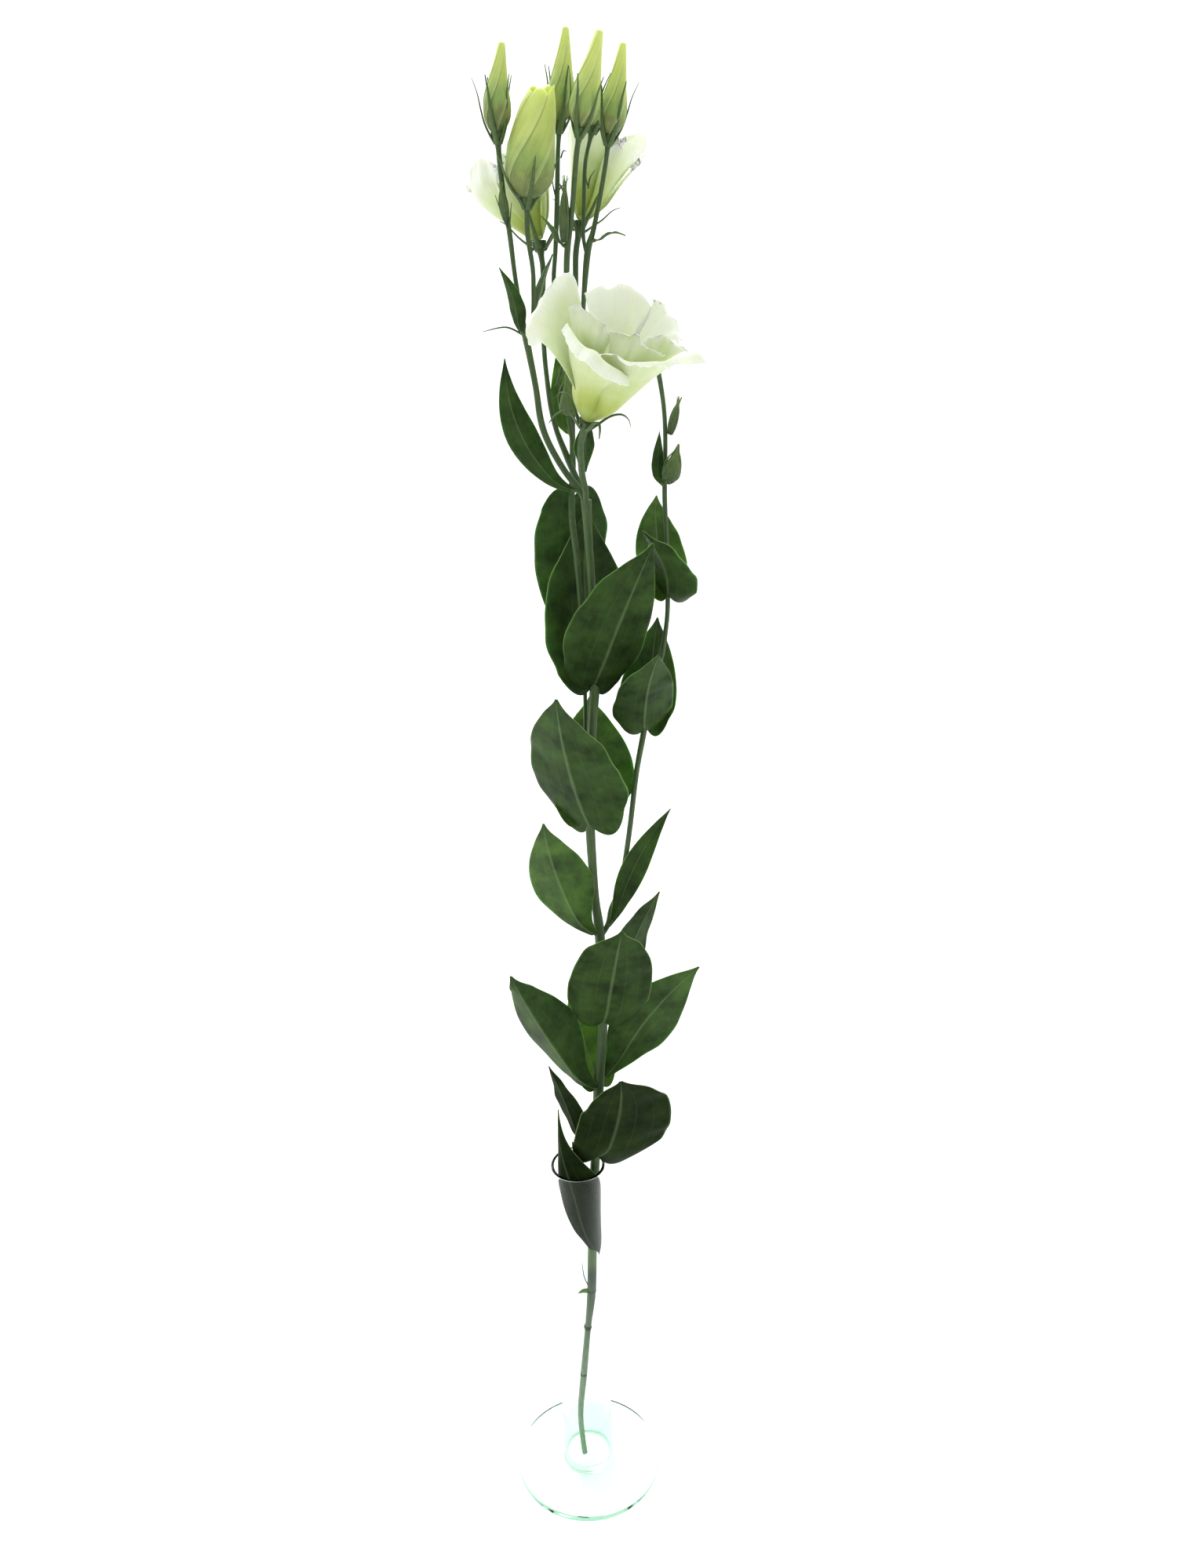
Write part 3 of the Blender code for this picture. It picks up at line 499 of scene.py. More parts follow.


# %% [markdown]
# ## Stems and calyces
#
# The main stem climbs out of the tube and forks below the front flower. Side stems end in a
# small cup, the calyx, with five needle sepals that hug the bud and then stand away. Each stem
# is one tube along a given line with a thickness at each point, which gives the swollen
# nodes where leaves sit. The lines repeat the imported solids' own lines.

# %% Stem lines
# Each row is x, y, z and radius in millimetres.
STEMS = {
    "main_stem": [
        (-2, -1, 7.2, 1.8), (-3.5, 1, 33, 1.8), (-1, 2, 61, 2.1), (2, 1, 94, 1.8), (4.5, 1, 119, 2.3),
        (5.6, 0, 148, 2.2), (7, 0, 172, 1.9), (8, 0, 197, 2.2), (9.6, 0, 220, 2.1), (11, 0, 245, 2.4),
        (13.5, 0, 276, 2.1), (13.7, 0, 302, 2.0), (13.2, 0, 327, 2.2), (11.6, 0, 346, 1.8),
        (10.5, 0, 378, 2.0), (11.2, 0, 398, 1.7), (12.6, 0, 425, 1.8), (13.9, 0, 442, 2.0),
        (13.9, 0, 466, 1.6), (13.9, 0, 478, 1.6), (13, 0, 501, 1.6), (12.5, -1, 517, 2.1),
    ],
    "right_stem": [
        (17.2, 2, 330, 1.2), (18.8, 3, 337, 1.2), (23, 4, 348, 1.1), (27, 5, 372, 1.1),
        (30.4, 5, 400, 1.1), (33.6, 5, 418, 1.2), (37.6, 5, 440, 1.0), (41, 4, 452, 1.1),
        (43, 4, 464, 0.9), (43.7, 4, 475, 0.9), (43.4, 4, 496, 0.8), (42.6, 4, 517, 0.9),
        (43, 5, 536, 0.8), (42.8, 9, 548, 0.8), (41.6, 14, 558, 0.9), (40.3, 17, 565, 1.1),
    ],
    "back_stem": [
        (9.7, 3.6, 381, 0.8), (9.4, 3.8, 403, 0.8), (9.8, 3.3, 425, 0.8), (10, 1.6, 441, 0.8),
        (10, 0.8, 455, 0.9), (9.6, 0.8, 469, 1.0), (8.3, 2, 494, 1.2), (7, 5.5, 507, 1.3),
        (7, 8.5, 517, 1.3), (7.8, 9.8, 527, 1.2), (8.2, 10.5, 545, 1.1), (9.7, 12, 569, 1.1),
        (10.8, 14, 588, 1.0), (11.2, 16.6, 602, 1.1), (13, 20.4, 612, 2.4),
    ],
    "left_stem": [
        (9.6, -2.2, 522, 1.2), (6, -1.8, 526.5, 1.2), (2.1, -2, 533, 1.2), (-1.4, -3, 540.5, 1.2),
        (-3.5, -3, 548, 1.2), (-4.7, -3, 559, 1.1), (-6.5, -3, 570.5, 1.2), (-7.6, -3, 577, 1.3),
        (-8.9, -3, 585, 0.9), (-10.5, -3, 598, 0.8), (-11.6, -3, 611, 0.9), (-12.8, -3, 621, 0.8),
        (-13.8, -3, 632, 0.9), (-14.2, -3, 642, 2.1),
    ],
    "centre_stem": [
        (10.6, 2.4, 521.5, 1.1), (9.4, 2.6, 524, 1.1), (7.2, 3, 529, 1.2), (5.4, 4, 533.5, 1.2),
        (2.2, 5.5, 542, 1.0), (0.3, 7, 551, 1.0), (-0.8, 8.5, 561, 0.9), (-1.4, 10, 570, 0.9),
        (-1.6, 12, 583, 0.9), (-0.8, 13.4, 597, 1.0), (-1.7, 16, 606, 2.4),
    ],
    "flower_1_stalk": [
        (12.3, -5, 521.5, 1.2), (11.4, -8, 527, 1.2), (11, -12.5, 533, 1.2), (11, -17, 540.5, 1.2),
        (13, -20, 548.5, 2.6),
    ],
    "bud_2_stalk": [
        (-5.3, -3, 580.5, 0.9), (-4.5, -3, 585, 0.8), (-4.1, -3, 593, 0.8), (-4.1, -3, 600, 0.8),
        (-5.4, -3, 611, 0.9), (-5.1, -3, 621.4, 2.6),
    ],
    "bud_3_stalk": [
        (5.2, 5.6, 566, 0.7), (4.8, 6.8, 575, 0.8), (4.2, 8.2, 583, 0.8), (3, 10, 594, 0.8),
        (4, 10, 605, 0.8), (5.1, 10, 620, 0.9), (5.9, 10, 635, 0.8), (6.8, 10, 645, 2.1),
    ],
    "bud_4_stalk": [
        (8, 2.6, 535.8, 0.8), (6.9, 3, 547, 0.8), (6.4, 3, 557, 0.8), (6.6, 3, 573, 0.9),
        (7.4, 2, 589, 0.9), (8.2, 0, 604.5, 1.1), (10.3, -3, 618, 0.9), (12.3, -7, 635, 0.9),
        (13.8, -9, 643, 2.1),
    ],
    "bud_5_stalk": [
        (12.6, 11.2, 573, 0.8), (13.7, 10, 588, 0.9), (15.5, 8, 604, 1.2), (17.6, 6, 611, 0.9),
        (19.7, 4.4, 619.5, 0.8), (21.9, 3, 630, 0.8), (23.7, 1.8, 640.5, 2.1),
    ],
    "bud_6_stalk": [
        (14.2, 11, 608.5, 0.7), (14.3, 11.5, 613, 0.7), (14.6, 12, 620, 0.7), (15.5, 12.6, 633, 0.7),
        (18.2, 13.4, 643.5, 1.8),
    ],
}
# How deep each side stem's foot is grown into the stem it leaves: the point it starts from
STEM_ROOTS = {
    "right_stem": (13.4, 0, 324), "back_stem": (11, 0.8, 374), "left_stem": (12.2, -1, 516),
    "centre_stem": (12.4, 0, 515), "flower_1_stalk": (12.5, -1.5, 514), "bud_2_stalk": (-7.2, -3, 574),
    "bud_3_stalk": (2.6, 7, 558), "bud_4_stalk": (6.2, 3.4, 530), "bud_5_stalk": (10, 12.2, 565),
    "bud_6_stalk": (15.3, 8.6, 602),
}
# Sepals as (distance from the stalk's axis, height above the calyx)
BUD_SEPALS = ((1.0, -2.2), (2.6, 0.8), (4.1, 4.5), (5.0, 9.0), (5.7, 13.5), (7.2, 18.5))
OPENING_SEPALS = ((1.2, -2.4), (3.0, 0.6), (6.3, 4.2), (9.0, 8.8), (10.2, 12.0), (11.6, 14.5))
SMALL_SEPALS = ((1.4, -1.0), (2.4, 1.2), (3.3, 4.0), (4.4, 8.5))
FLOWER_SEPALS = ((2.4, -1.2), (4.6, 1.4), (7.6, 5.0), (11.0, 6.6), (13.6, 5.4), (15.0, 2.6))
BACK_FLOWER_SEPALS = ((2.4, -1.0), (4.4, 1.2), (7.6, 4.6), (10.4, 8.6), (13.0, 10.6))
CALYX_SEPALS = {
    "left_stem": (BUD_SEPALS, 20), "bud_2_stalk": (OPENING_SEPALS, 50), "bud_3_stalk": (BUD_SEPALS, 50),
    "bud_4_stalk": (BUD_SEPALS, 5), "bud_5_stalk": (BUD_SEPALS, -10), "bud_6_stalk": (SMALL_SEPALS, 0),
    "flower_1_stalk": (FLOWER_SEPALS, -20), "centre_stem": (BACK_FLOWER_SEPALS, 25),
    "back_stem": (BACK_FLOWER_SEPALS, -5),
}
SEPAL_COUNT = 5
SEPAL_HALF_WIDTH = 1.05


# %% Stems
def stem_tone_with_painted_light(name, rows):
    """Tone along a stem: fresh green above the vase; in it, painted pale grey-green light low down and a painted shade
    dip near 124 mm.
    """
    if name != "main_stem":
        return [0.12] * len(rows)
    heights = [row[2] for row in rows]
    # Up to 130 mm these tones are painted light and shade seen through the glass, not the stem's own colour
    return list(np.interp(heights, [0, 60, 95, 118, 130, 190, 260, 420],
                          [1.0, 0.92, 0.8, 0.7, 0.30, 0.22, 0.05, 0.18]))


def sepals(end, axis, path, first_heading):
    """Five flat needles that leave a calyx, hug what stands in it and bend away."""
    axis = unit(axis)
    front = unit(np.cross(axis, (1.0, 0, 0)))
    parts = []
    for k in range(SEPAL_COUNT):
        radial = turned_about(front, axis, first_heading + 360 * k / SEPAL_COUNT)
        stray = 0.85 + 0.3 * ((k * 7 + first_heading) % 5) / 4
        route = [end + radial * distance * (1 + (stray - 1) * i / len(path)) + axis * height
                 for i, (distance, height) in enumerate(path)]
        widths = np.interp(np.linspace(0, 1, 7), [0, 0.3, 0.7, 1], [1, 0.8, 0.5, 0.2]) * SEPAL_HALF_WIDTH
        side = np.cross(axis, radial)
        parts.append(tube(route, widths, sides=8, rings=20, flat=0.45, side=side, tone=0.25))
    return parts


def build_stem(name, rows, material):
    """One stem, grown into its parent, with its calyx cup and sepals where it ends in a flower."""
    rows = np.array(rows, float)
    route, radii, tone = rows[:, :3], rows[:, 3], stem_tone_with_painted_light(name, rows)
    if name in STEM_ROOTS:
        route = np.vstack([STEM_ROOTS[name], route])
        radii = np.concatenate([radii[:1] * 0.8, radii])
        tone = tone[:1] + tone
    parts = []
    if name == "main_stem":
        radii = radii * np.interp(route[:, 2], [0, 90, 130], [0.78, 0.84, 1.0])
    if name in CALYX_SEPALS:
        path, heading = CALYX_SEPALS[name]
        axis = unit(route[-1] - smooth(route, 0.97)[0])
        neck = route[-1] - axis * 3.2
        route = np.vstack([route[:-1], neck, route[-1]])
        radii = np.concatenate([radii[:-1], radii[-2:-1] * 1.1, radii[-1:] * 0.92])
        tone = tone + tone[-1:]
        parts += sepals(route[-1], axis, path, heading)
        route = np.vstack([route, route[-1] + axis * 1.6])
        radii = np.concatenate([radii, radii[-1:] * 1.2])
        tone = tone + tone[-1:]
    parts.append(tube(route, radii, sides=20, rings=5 * len(route), ribs=0.04, tone=tone))
    return make_piece(name + "_skin", parts, material, [name])


stem_skin = waxy_stem()
stem_pieces = [build_stem(name, rows, stem_skin) for name, rows in STEMS.items()]
for piece, name in zip(stem_pieces, STEMS):
    print(name, "off its solid by", round(gap_to_solid(piece, name), 1), "mm")

# %% [markdown]
# ## Leaf finish
#
# Lisianthus leaves are smooth and fleshy, with a bluish bloom of wax on top and a paler, greyer
# underside. Three to five veins run from the foot to the point, following the edge. The thin
# blade lets light through, yellower than it reflects. The veins are drawn from the across
# number, so they follow every leaf's own outline, and subsurface scattering inside the thin
# closed sheet gives the glow. The tone number sets how light the green is: partly each leaf's
# own green, partly painted light, lighter on back leaves lit through from behind and darker on
# front leaves in shade.

# %% Leaf finish
VEINS_EACH_SIDE = 3


def glaucous_leaf():
    """Fleshy leaf: bloom on top, grey green below, lengthwise veins, light passing through."""
    material, tree = new_material("glaucous_green_leaf")
    reads = {name: add_node(tree, "ShaderNodeAttribute", {"attribute_name": name}).outputs["Fac"]
             for name in ("along", "across", "under", "tone")}
    place = add_node(tree, "ShaderNodeTexCoord").outputs["Object"]
    # Painted light: on top of each leaf's own green, the tone lightens back leaves that the light shines through and
    # darkens front leaves in shade
    upper = add_node(tree, "ShaderNodeValToRGB",
                     {"stops": [(0.0, "#16240a"), (0.5, "#3f5c2c"), (1.0, "#6d9836")]},
                     {"Fac": reads["tone"]})
    lower = add_node(tree, "ShaderNodeValToRGB",
                     {"stops": [(0.0, "#17220c"), (0.5, "#466336"), (1.0, "#6f9450")]},
                     {"Fac": reads["tone"]})
    blade = add_node(tree, "ShaderNodeMix", {"data_type": "RGBA"},
                     {0: reads["under"], 6: upper, 7: lower}).outputs[2]
    # Clouds of deeper and lighter green some 12 mm across, and cells of about 1 mm
    clouds = add_node(tree, "ShaderNodeTexNoise", {"Scale": 85.0, "Detail": 5.0, "Roughness": 0.62},
                      {"Vector": place})
    shade = add_node(tree, "ShaderNodeValToRGB", {"stops": [(0.30, "#474f43"), (0.70, "#b2b29c")]},
                     {"Fac": clouds})
    mottled = add_node(tree, "ShaderNodeMix",
                       {"data_type": "RGBA", "blend_type": "OVERLAY", 0: 0.9},
                       {6: blade, 7: shade}).outputs[2]
    # Veins: bright lines at even shares of the half width, 0.4 mm wide on a broad leaf
    side = add_node(tree, "ShaderNodeMath", {"operation": "ABSOLUTE"}, {0: reads["across"]})
    turns = add_node(tree, "ShaderNodeMath",
                     {"operation": "MULTIPLY", 1: 2 * math.pi * VEINS_EACH_SIDE}, {0: side})
    wave = add_node(tree, "ShaderNodeMath", {"operation": "COSINE"}, {0: turns})
    raised = add_node(tree, "ShaderNodeMapRange",
                      {"From Min": 0.90, "From Max": 1.0, "To Max": 1.0}, {"Value": wave})
    fade = add_node(tree, "ShaderNodeMapRange",
                    {"From Min": 0.0, "From Max": 0.9, "To Min": 0.20, "To Max": 0.06},
                    {"Value": side})
    vein = add_node(tree, "ShaderNodeMath", {"operation": "MULTIPLY"}, {0: raised, 1: fade})
    midrib = add_node(tree, "ShaderNodeMapRange",
                      {"From Min": 0.055, "From Max": 0.012, "To Max": 0.85}, {"Value": side})
    lines = add_node(tree, "ShaderNodeMath", {"operation": "MAXIMUM"}, {0: vein, 1: midrib})
    clear = add_node(tree, "ShaderNodeMapRange", {"From Max": 0.5, "To Min": 0.12, "To Max": 0.30},
                     {"Value": reads["tone"]})
    faint = add_node(tree, "ShaderNodeMath", {"operation": "MULTIPLY"}, {0: lines, 1: clear})
    veined = add_node(tree, "ShaderNodeMix", {"data_type": "RGBA", 7: "#8fa878"},
                      {0: faint, 6: mottled}).outputs[2]
    # The last half millimetre of the edge is thin and pale: partly its own paler green, partly a painted glow of the
    # light coming through it
    pale_rim_and_painted_glow = add_node(tree, "ShaderNodeMapRange",
                      {"From Min": 0.965, "From Max": 1.0, "To Max": 0.30}, {"Value": side})
    edged = add_node(tree, "ShaderNodeMix", {"data_type": "RGBA", 7: "#9db87a"},
                     {0: pale_rim_and_painted_glow, 6: veined}).outputs[2]
    cells = add_node(tree, "ShaderNodeTexVoronoi", {"Scale": 900.0}, {"Vector": place})
    relief = add_node(tree, "ShaderNodeMath", {"operation": "MULTIPLY_ADD", 1: 0.12},
                      {0: cells, 2: lines})
    bump = add_node(tree, "ShaderNodeBump", {"Strength": 0.35, "Distance": 0.00022},
                    {"Height": relief})
    # Old leaves low on the stem have lost their wax and hardly shine, and no underside shines much
    bloom = add_node(tree, "ShaderNodeMath", {"operation": "MULTIPLY_ADD", 1: -0.3},
                     {0: reads["under"], 2: reads["tone"]})
    wax = add_node(tree, "ShaderNodeMapRange", {"From Max": 0.5, "To Min": 0.02, "To Max": 0.22},
                   {"Value": bloom})
    rough = add_node(tree, "ShaderNodeMapRange", {"To Min": 0.40, "To Max": 0.62},
                     {"Value": clouds})
    shader = add_node(tree, "ShaderNodeBsdfPrincipled",
                      {"IOR": 1.42, "Subsurface Weight": 1.0,
                       "Subsurface Scale": 0.0009, "Subsurface Radius": (0.50, 1.0, 0.18)},
                      {"Base Color": edged, "Roughness": rough, "Specular IOR Level": wax,
                       "Normal": bump})
    add_node(tree, "ShaderNodeOutputMaterial", links={"Surface": shader})
    return material


# %% [markdown]
# ## Leaves
#
# Leaves sit in opposite pairs, without a stalk, and their rounded bases clasp the stem. Each is
# a grid bent along its midrib, folded or cupped across it, waved at its edge and then thickened:
# 0.5 mm of flesh that thins out at the rim, with a rib standing out below. A plane with a leaf
# drawn on it would look the same from one side only. Each row gives the base, the tip, the
# width, the bend, the sideways bow, the roll, the fold, the cupping, how light the green is
# (partly painted light: lighter for back leaves, darker for front ones in shade), and the height
# of the edge's wave.

# %% Leaf table
BROAD_OUTLINE = (0.82, 1.0, 1.0, 0.90, 0.68, 0.36, 0.03)
ROUND_OUTLINE = (0.84, 1.0, 1.02, 0.97, 0.83, 0.53, 0.04)
SIDE_OUTLINE = (0.13, 0.50, 0.88, 1.0, 0.80, 0.42, 0.03)
BRACT_OUTLINE = (0.35, 0.75, 1.0, 0.9, 0.66, 0.34, 0.03)
LEAF_LOBE = 0.16
ROUND_LEAVES = ("leaf_rim_front", "leaf_mid_front")
# Some leaves are seen with one half turned away or grown wider: shares of each half's width
LEAF_HALVES = {"leaf_top_front": (0.84, 0.62), "leaf_rim_front": (0.82, 1.25)}
# In these tables the second-last number, the tone, is partly painted light: high for back leaves lit through from
# behind, low for front leaves in shade
BROAD_LEAVES = [
    ("leaf_rim_front", (12.0, -6.6, 206), (20.5, -27, 267), 42, 0.03, -0.05, -16, 4, 0.08, 0.10, 0.9),
    ("leaf_low_back", (9.5, 4.6, 246), (-2, 30, 273), 24, 0.04, 0.0, 0, 10, 0.1, 0.85, 0.5),
    ("leaf_mid_front", (14.6, -5.0, 282), (22, -36, 348), 36, 0.02, 0.0, -12, 8, 0.08, 0.34, 0.8),
    ("leaf_mid_back", (18.0, 5.0, 286), (41, 24, 333), 25, 0.04, 0.0, -10, 10, 0.0, 0.45, 0.6),
    ("leaf_upper_front", (9.6, -3.8, 381), (-1, -31, 448), 42, 0.02, 0.045, -5, 8, 0.10, 0.48, 0.8),
    ("leaf_upper_back", (11.8, 5.8, 382), (12, 34, 424), 36, 0.05, 0.0, 0, 6, 0.10, 0.72, 0.8),
    ("leaf_top_front", (14.6, -3.8, 444), (36, -34, 508), 42, 0.02, 0.0, -30, 8, 0.10, 0.42, 0.9),
    ("leaf_top_back", (14.6, 6.8, 446), (13, 10.4, 511), 38, -0.03, -0.03, 0, 2, 0.0, 0.52, 0.8),
    ("leaf_branch_low_front", (33.6, 1.4, 421), (38, -29, 464), 25, 0.03, 0.02, 5, 8, 0.10, 0.45, 0.6),
    ("leaf_branch_low_back", (35.2, 8.0, 420), (41, 27, 461), 24, 0.04, 0.0, 0, 8, 0.10, 0.55, 0.5),
    ("leaf_branch_front", (43.4, -1.6, 478), (33, -23, 510), 24, 0.04, -0.06, -20, 20, 0.0, 0.50, 0.6),
    ("leaf_branch_back", (44.2, 9.0, 479), (41, 30, 511), 20, 0.04, -0.06, 0, 10, 0.0, 0.72, 0.5),
    ("leaf_node_back", (8.2, 10.8, 515), (3, 27, 447), 30, 0.02, 0.0, 0, 6, 0.0, 0.60, 0.6),
]
SIDE_LEAVES = [
    ("leaf_rim_left", (2.4, 4.4, 205), (-12, 9, 250), 18, 0.02, 0.0, 60, 10, 0.0, 0.10, 0.4),
    ("leaf_low_left", (6.4, -6.2, 245), (-26, -10, 312), 34, 0.03, 0.04, 76, 42, 0.0, 0.50, 0.5),
    ("leaf_low_right", (16.8, 0.9, 249), (57, 1, 307), 30, 0.02, 0.05, -84, 3, 0.0, 0.62, 0.5),
    ("leaf_mid_left", (8.2, -4.3, 327), (-9, -5, 383), 29, 0.02, 0.06, 76, 16, 0.0, 0.80, 0.5),
    ("leaf_mid_right", (19.0, -1.2, 330), (45, 8, 382), 12, 0.03, -0.05, 60, 25, 0.0, 0.55, 0.3),
    ("leaf_node_left", (7.4, -5.6, 519), (-15, -14, 571), 13, 0.03, 0.12, 75, 26, 0.0, 0.45, 0.3),
]
BRACTS = [
    ("leaf_node_front", (12.4, -4.6, 531), (14, -7.6, 549), 9, 0.04, 0.0, 0, 14, 0.0, 0.45, 0.1),
    ("leaf_fork_back", (4.2, 13.6, 539), (3, 24, 569), 8, 0.04, 0.0, 0, 8, 0.1, 0.90, 0.2),
    ("leaf_bud_left", (-9.8, -5.8, 578), (-15.5, -11, 601), 7, 0.05, -0.05, 20, 25, 0.0, 0.50, 0.1),
    ("leaf_bud_right", (-4.6, 2.2, 580), (3, 5, 604), 9, 0.03, 0.0, 0, 14, 0.0, 0.50, 0.1),
    ("leaf_branch_top", (39.9, 2.4, 521), (40.4, -2, 542), 5, 0.05, 0.0, 0, 20, 0.0, 0.50, 0.1),
    ("bract_fork_left", (5.4, -0.6, 607), (-0.5, -4, 617), 4.5, 0.06, 0.0, 0, 15, 0.0, 0.60, 0.1),
    ("bract_fork_right", (19.4, 4.6, 607), (29, 1, 609.5), 4.5, 0.20, 0.0, 0, 15, 0.0, 0.60, 0.1),
]
print("leaves and bracts:", len(BROAD_LEAVES) + len(SIDE_LEAVES) + len(BRACTS))

# %% Leaf blade
LEAF_FLESH = 0.42
LEAF_RIM = 0.26
RIB_HEIGHT = 0.40
RIB_HALF_WIDTH = 0.5
CREASE_RADIUS = 0.6
stem_points = np.vstack([np.column_stack([smooth(np.array(rows, float), np.linspace(0, 1, 120))])
                         for rows in STEMS.values()])


def nearest_stem(place):
    """The nearest point on any stem's middle line, and the stem's radius there."""
    row = stem_points[np.argmin(np.linalg.norm(stem_points[:, :3] - place, axis=1))]
    return row[:3], row[3]


def leaf_blade(name, base, tip, width, arch, bow, roll, fold, cup, tone, wave, outline, lobe):
    """The parts of one leaf: its blade and the short foot that joins it to the stem."""
    big = width > 15
    rows, columns = (49, 31) if big else (33, 15)
    u = np.linspace(0, 1, rows)[:, None]
    t = u - 0.45 * np.sin(2 * math.pi * u) / (2 * math.pi)
    v = np.linspace(-1, 1, columns)[None, :]
    s = np.sign(v) * np.abs(v) ** 1.3
    base, tip = np.array(base, float), np.array(tip, float)
    chord = tip - base
    length = np.linalg.norm(chord)
    along = chord / length
    upper = unit(np.array((0, 0, 1.0)) - along * along[2])
    upper = turned_about(upper, along, roll)
    side = np.cross(along, upper)
    half = width / 2
    bend, tilt = 4 * t * (1 - t) * length, 4 * (1 - 2 * t)
    centre = base + chord * t + upper * arch * bend + side * bow * bend
    tangent = unit(along + upper * arch * tilt + side * bow * tilt)
    normal = unit(upper - tangent * (tangent @ upper)[:, None])
    across = np.cross(tangent, normal)
    # The base leans in until it touches the stem
    joint, radius = nearest_stem(base)
    reach = joint - base
    lean = max(0.0, 1 - (radius + 0.2) / np.linalg.norm(reach))
    centre = centre + reach * lean * np.clip(1 - t / 0.2, 0, 1) ** 2
    share = smooth(outline, t.ravel())[:, None]
    wide, narrow = LEAF_HALVES.get(name, (1, 1))
    x = s * half * share * np.where(s > 0, wide, narrow)
    slope = np.radians(fold) * np.minimum(1, 2.5 * share)
    crease = np.sqrt(x * x + CREASE_RADIUS ** 2) - CREASE_RADIUS
    seed = sum(ord(c) for c in name) % 17
    ripple = np.sin(2 * math.pi * (2.3 * t + 0.13 * seed) + 1.1 * np.sign(s))
    ripple = ripple + 0.5 * np.sin(2 * math.pi * (4.7 * t + 0.31 * seed) - 0.9 * np.sign(s))
    lift = crease * np.sin(slope) + cup * x * x / half + wave * s * s * ripple * np.sin(math.pi * t)
    lobes = np.sin(math.pi * np.abs(s) ** 0.85) - 0.9 * np.abs(s) ** 5
    lobes = lobe * width * lobes * (1 - t) ** 5
    grid = (centre[:, None] + across[:, None] * (x * np.cos(slope))[..., None]
            + normal[:, None] * lift[..., None] - tangent[:, None] * lobes[..., None])
    thin = 1 - np.maximum(np.abs(s), 0.0) ** 6
    flesh = (LEAF_RIM + (LEAF_FLESH - LEAF_RIM) * thin * np.ones_like(t)) / 2
    rib = RIB_HEIGHT * np.exp(-(x / RIB_HALF_WIDTH) ** 2) * (1 - 0.75 * t) * min(1, width / 25)
    parts = [skin(grid, flesh - 0.35 * rib, flesh + rib, t, s, tone)]
    middle = grid[:, columns // 2]
    foot = np.array([joint, middle[0], middle[3]])
    parts.append(tube(foot, [0.9, 0.8, 0.3], sides=10, rings=8, tone=tone))
    return parts


# %% Leaves
leaf_skin = glaucous_leaf()
leaf_pieces = {}
for rows, outline, lobe in ((BROAD_LEAVES, BROAD_OUTLINE, LEAF_LOBE), (SIDE_LEAVES, SIDE_OUTLINE, 0),
                            (BRACTS, BRACT_OUTLINE, 0)):
    for name, *shape in rows:
        shape_outline = ROUND_OUTLINE if name in ROUND_LEAVES else outline
        parts = leaf_blade(name, *shape, shape_outline, lobe)
        leaf_pieces[name] = make_piece(name + "_blade", parts, leaf_skin, [name])
print("leaves on straight tables:", len(leaf_pieces))

# %% [markdown]
# ## The sheathing leaf
#
# The lowest leaf is squeezed into the tube. It rolls round the front of the stem like a paper
# cone, fills the tube's mouth and ends in a point above the rim, on the left. It is a grid over
# headings round an axis that drifts from the stem towards the tube's middle. Each row gives the
# height, the axis's x, the radius, and the headings of its right and left edges, where 270
# faces the front.

# %% Sheathing leaf
SHEATH_ROWS = [
    (149.5, 6.2, 2.9, 330, 205), (155.0, 5.3, 4.9, 334, 198), (162.0, 3.7, 6.9, 338, 188),
    (174.0, 2.0, 8.7, 341, 176), (188.0, 1.0, 9.8, 338, 166), (199.0, 0.7, 10.2, 318, 163), (211.0, 0.8, 9.9, 272, 168),
    (222.0, 0.8, 9.4, 225, 176), (233.0, 0.6, 8.9, 192, 188),
]
SHEATH_HEM = 5.0


def sheath_blade():
    """The lowest leaf, wrapped round the stem as a cone and cut off slantwise at the top."""
    t = np.linspace(0, 1, 57)[:, None]
    s = np.linspace(-1, 1, 41)[None, :]
    height, middle, radius, right, left = smooth(SHEATH_ROWS, t.ravel()).T[..., None]
    heading = np.radians(right + (left - right) * (s + 1) / 2)
    ripple = 0.35 * np.sin(2 * math.pi * (1.6 * t + 0.8 * s)) * np.sin(math.pi * t)
    distance = radius + ripple
    hem = SHEATH_HEM * np.clip(-s, 0, 1) ** 2 * (1 - t) ** 3
    height = height - hem + 0.0 * s
    grid = np.stack([middle + distance * np.cos(heading), distance * np.sin(heading), height], -1)
    flesh = (LEAF_RIM + (LEAF_FLESH - LEAF_RIM) * (1 - s ** 6) * np.ones_like(t)) / 2
    rib = 0.35 * np.exp(-(s / 0.05) ** 2) * (1 - 0.6 * t)
    # The tone 0.04, the darkest green, is partly painted shade on this leaf at the front
    return skin(grid, flesh, flesh + rib, t * np.ones_like(s), s * np.ones_like(t), 0.04)


leaf_pieces["leaf_collar"] = make_piece("leaf_collar_blade", [sheath_blade()], leaf_skin,
                                        ["leaf_collar"])
worst = max(leaf_pieces, key=lambda name: gap_to_solid(leaf_pieces[name], name))
print("leaf furthest from its solid:", worst, round(gap_to_solid(leaf_pieces[worst], worst), 1), "mm")

# %% [markdown]
# ## Scars, scales and needles
#
# Where leaves were stripped before the stem went into the vase, each node keeps a dark ring, and
# the highest of them a pale torn scale and a dried needle. Tiny needles also sit on the flower
# stalks. These are too slight for solids of their own, so they are only modelled here, from the
# same tube.

# %% Node rings and needles
NODE_RINGS = [((4.5, 1.0, 119.6), 2.5), ((2.0, 1.0, 95.0), 2.05), ((-1.0, 2.0, 61.5), 1.85)]
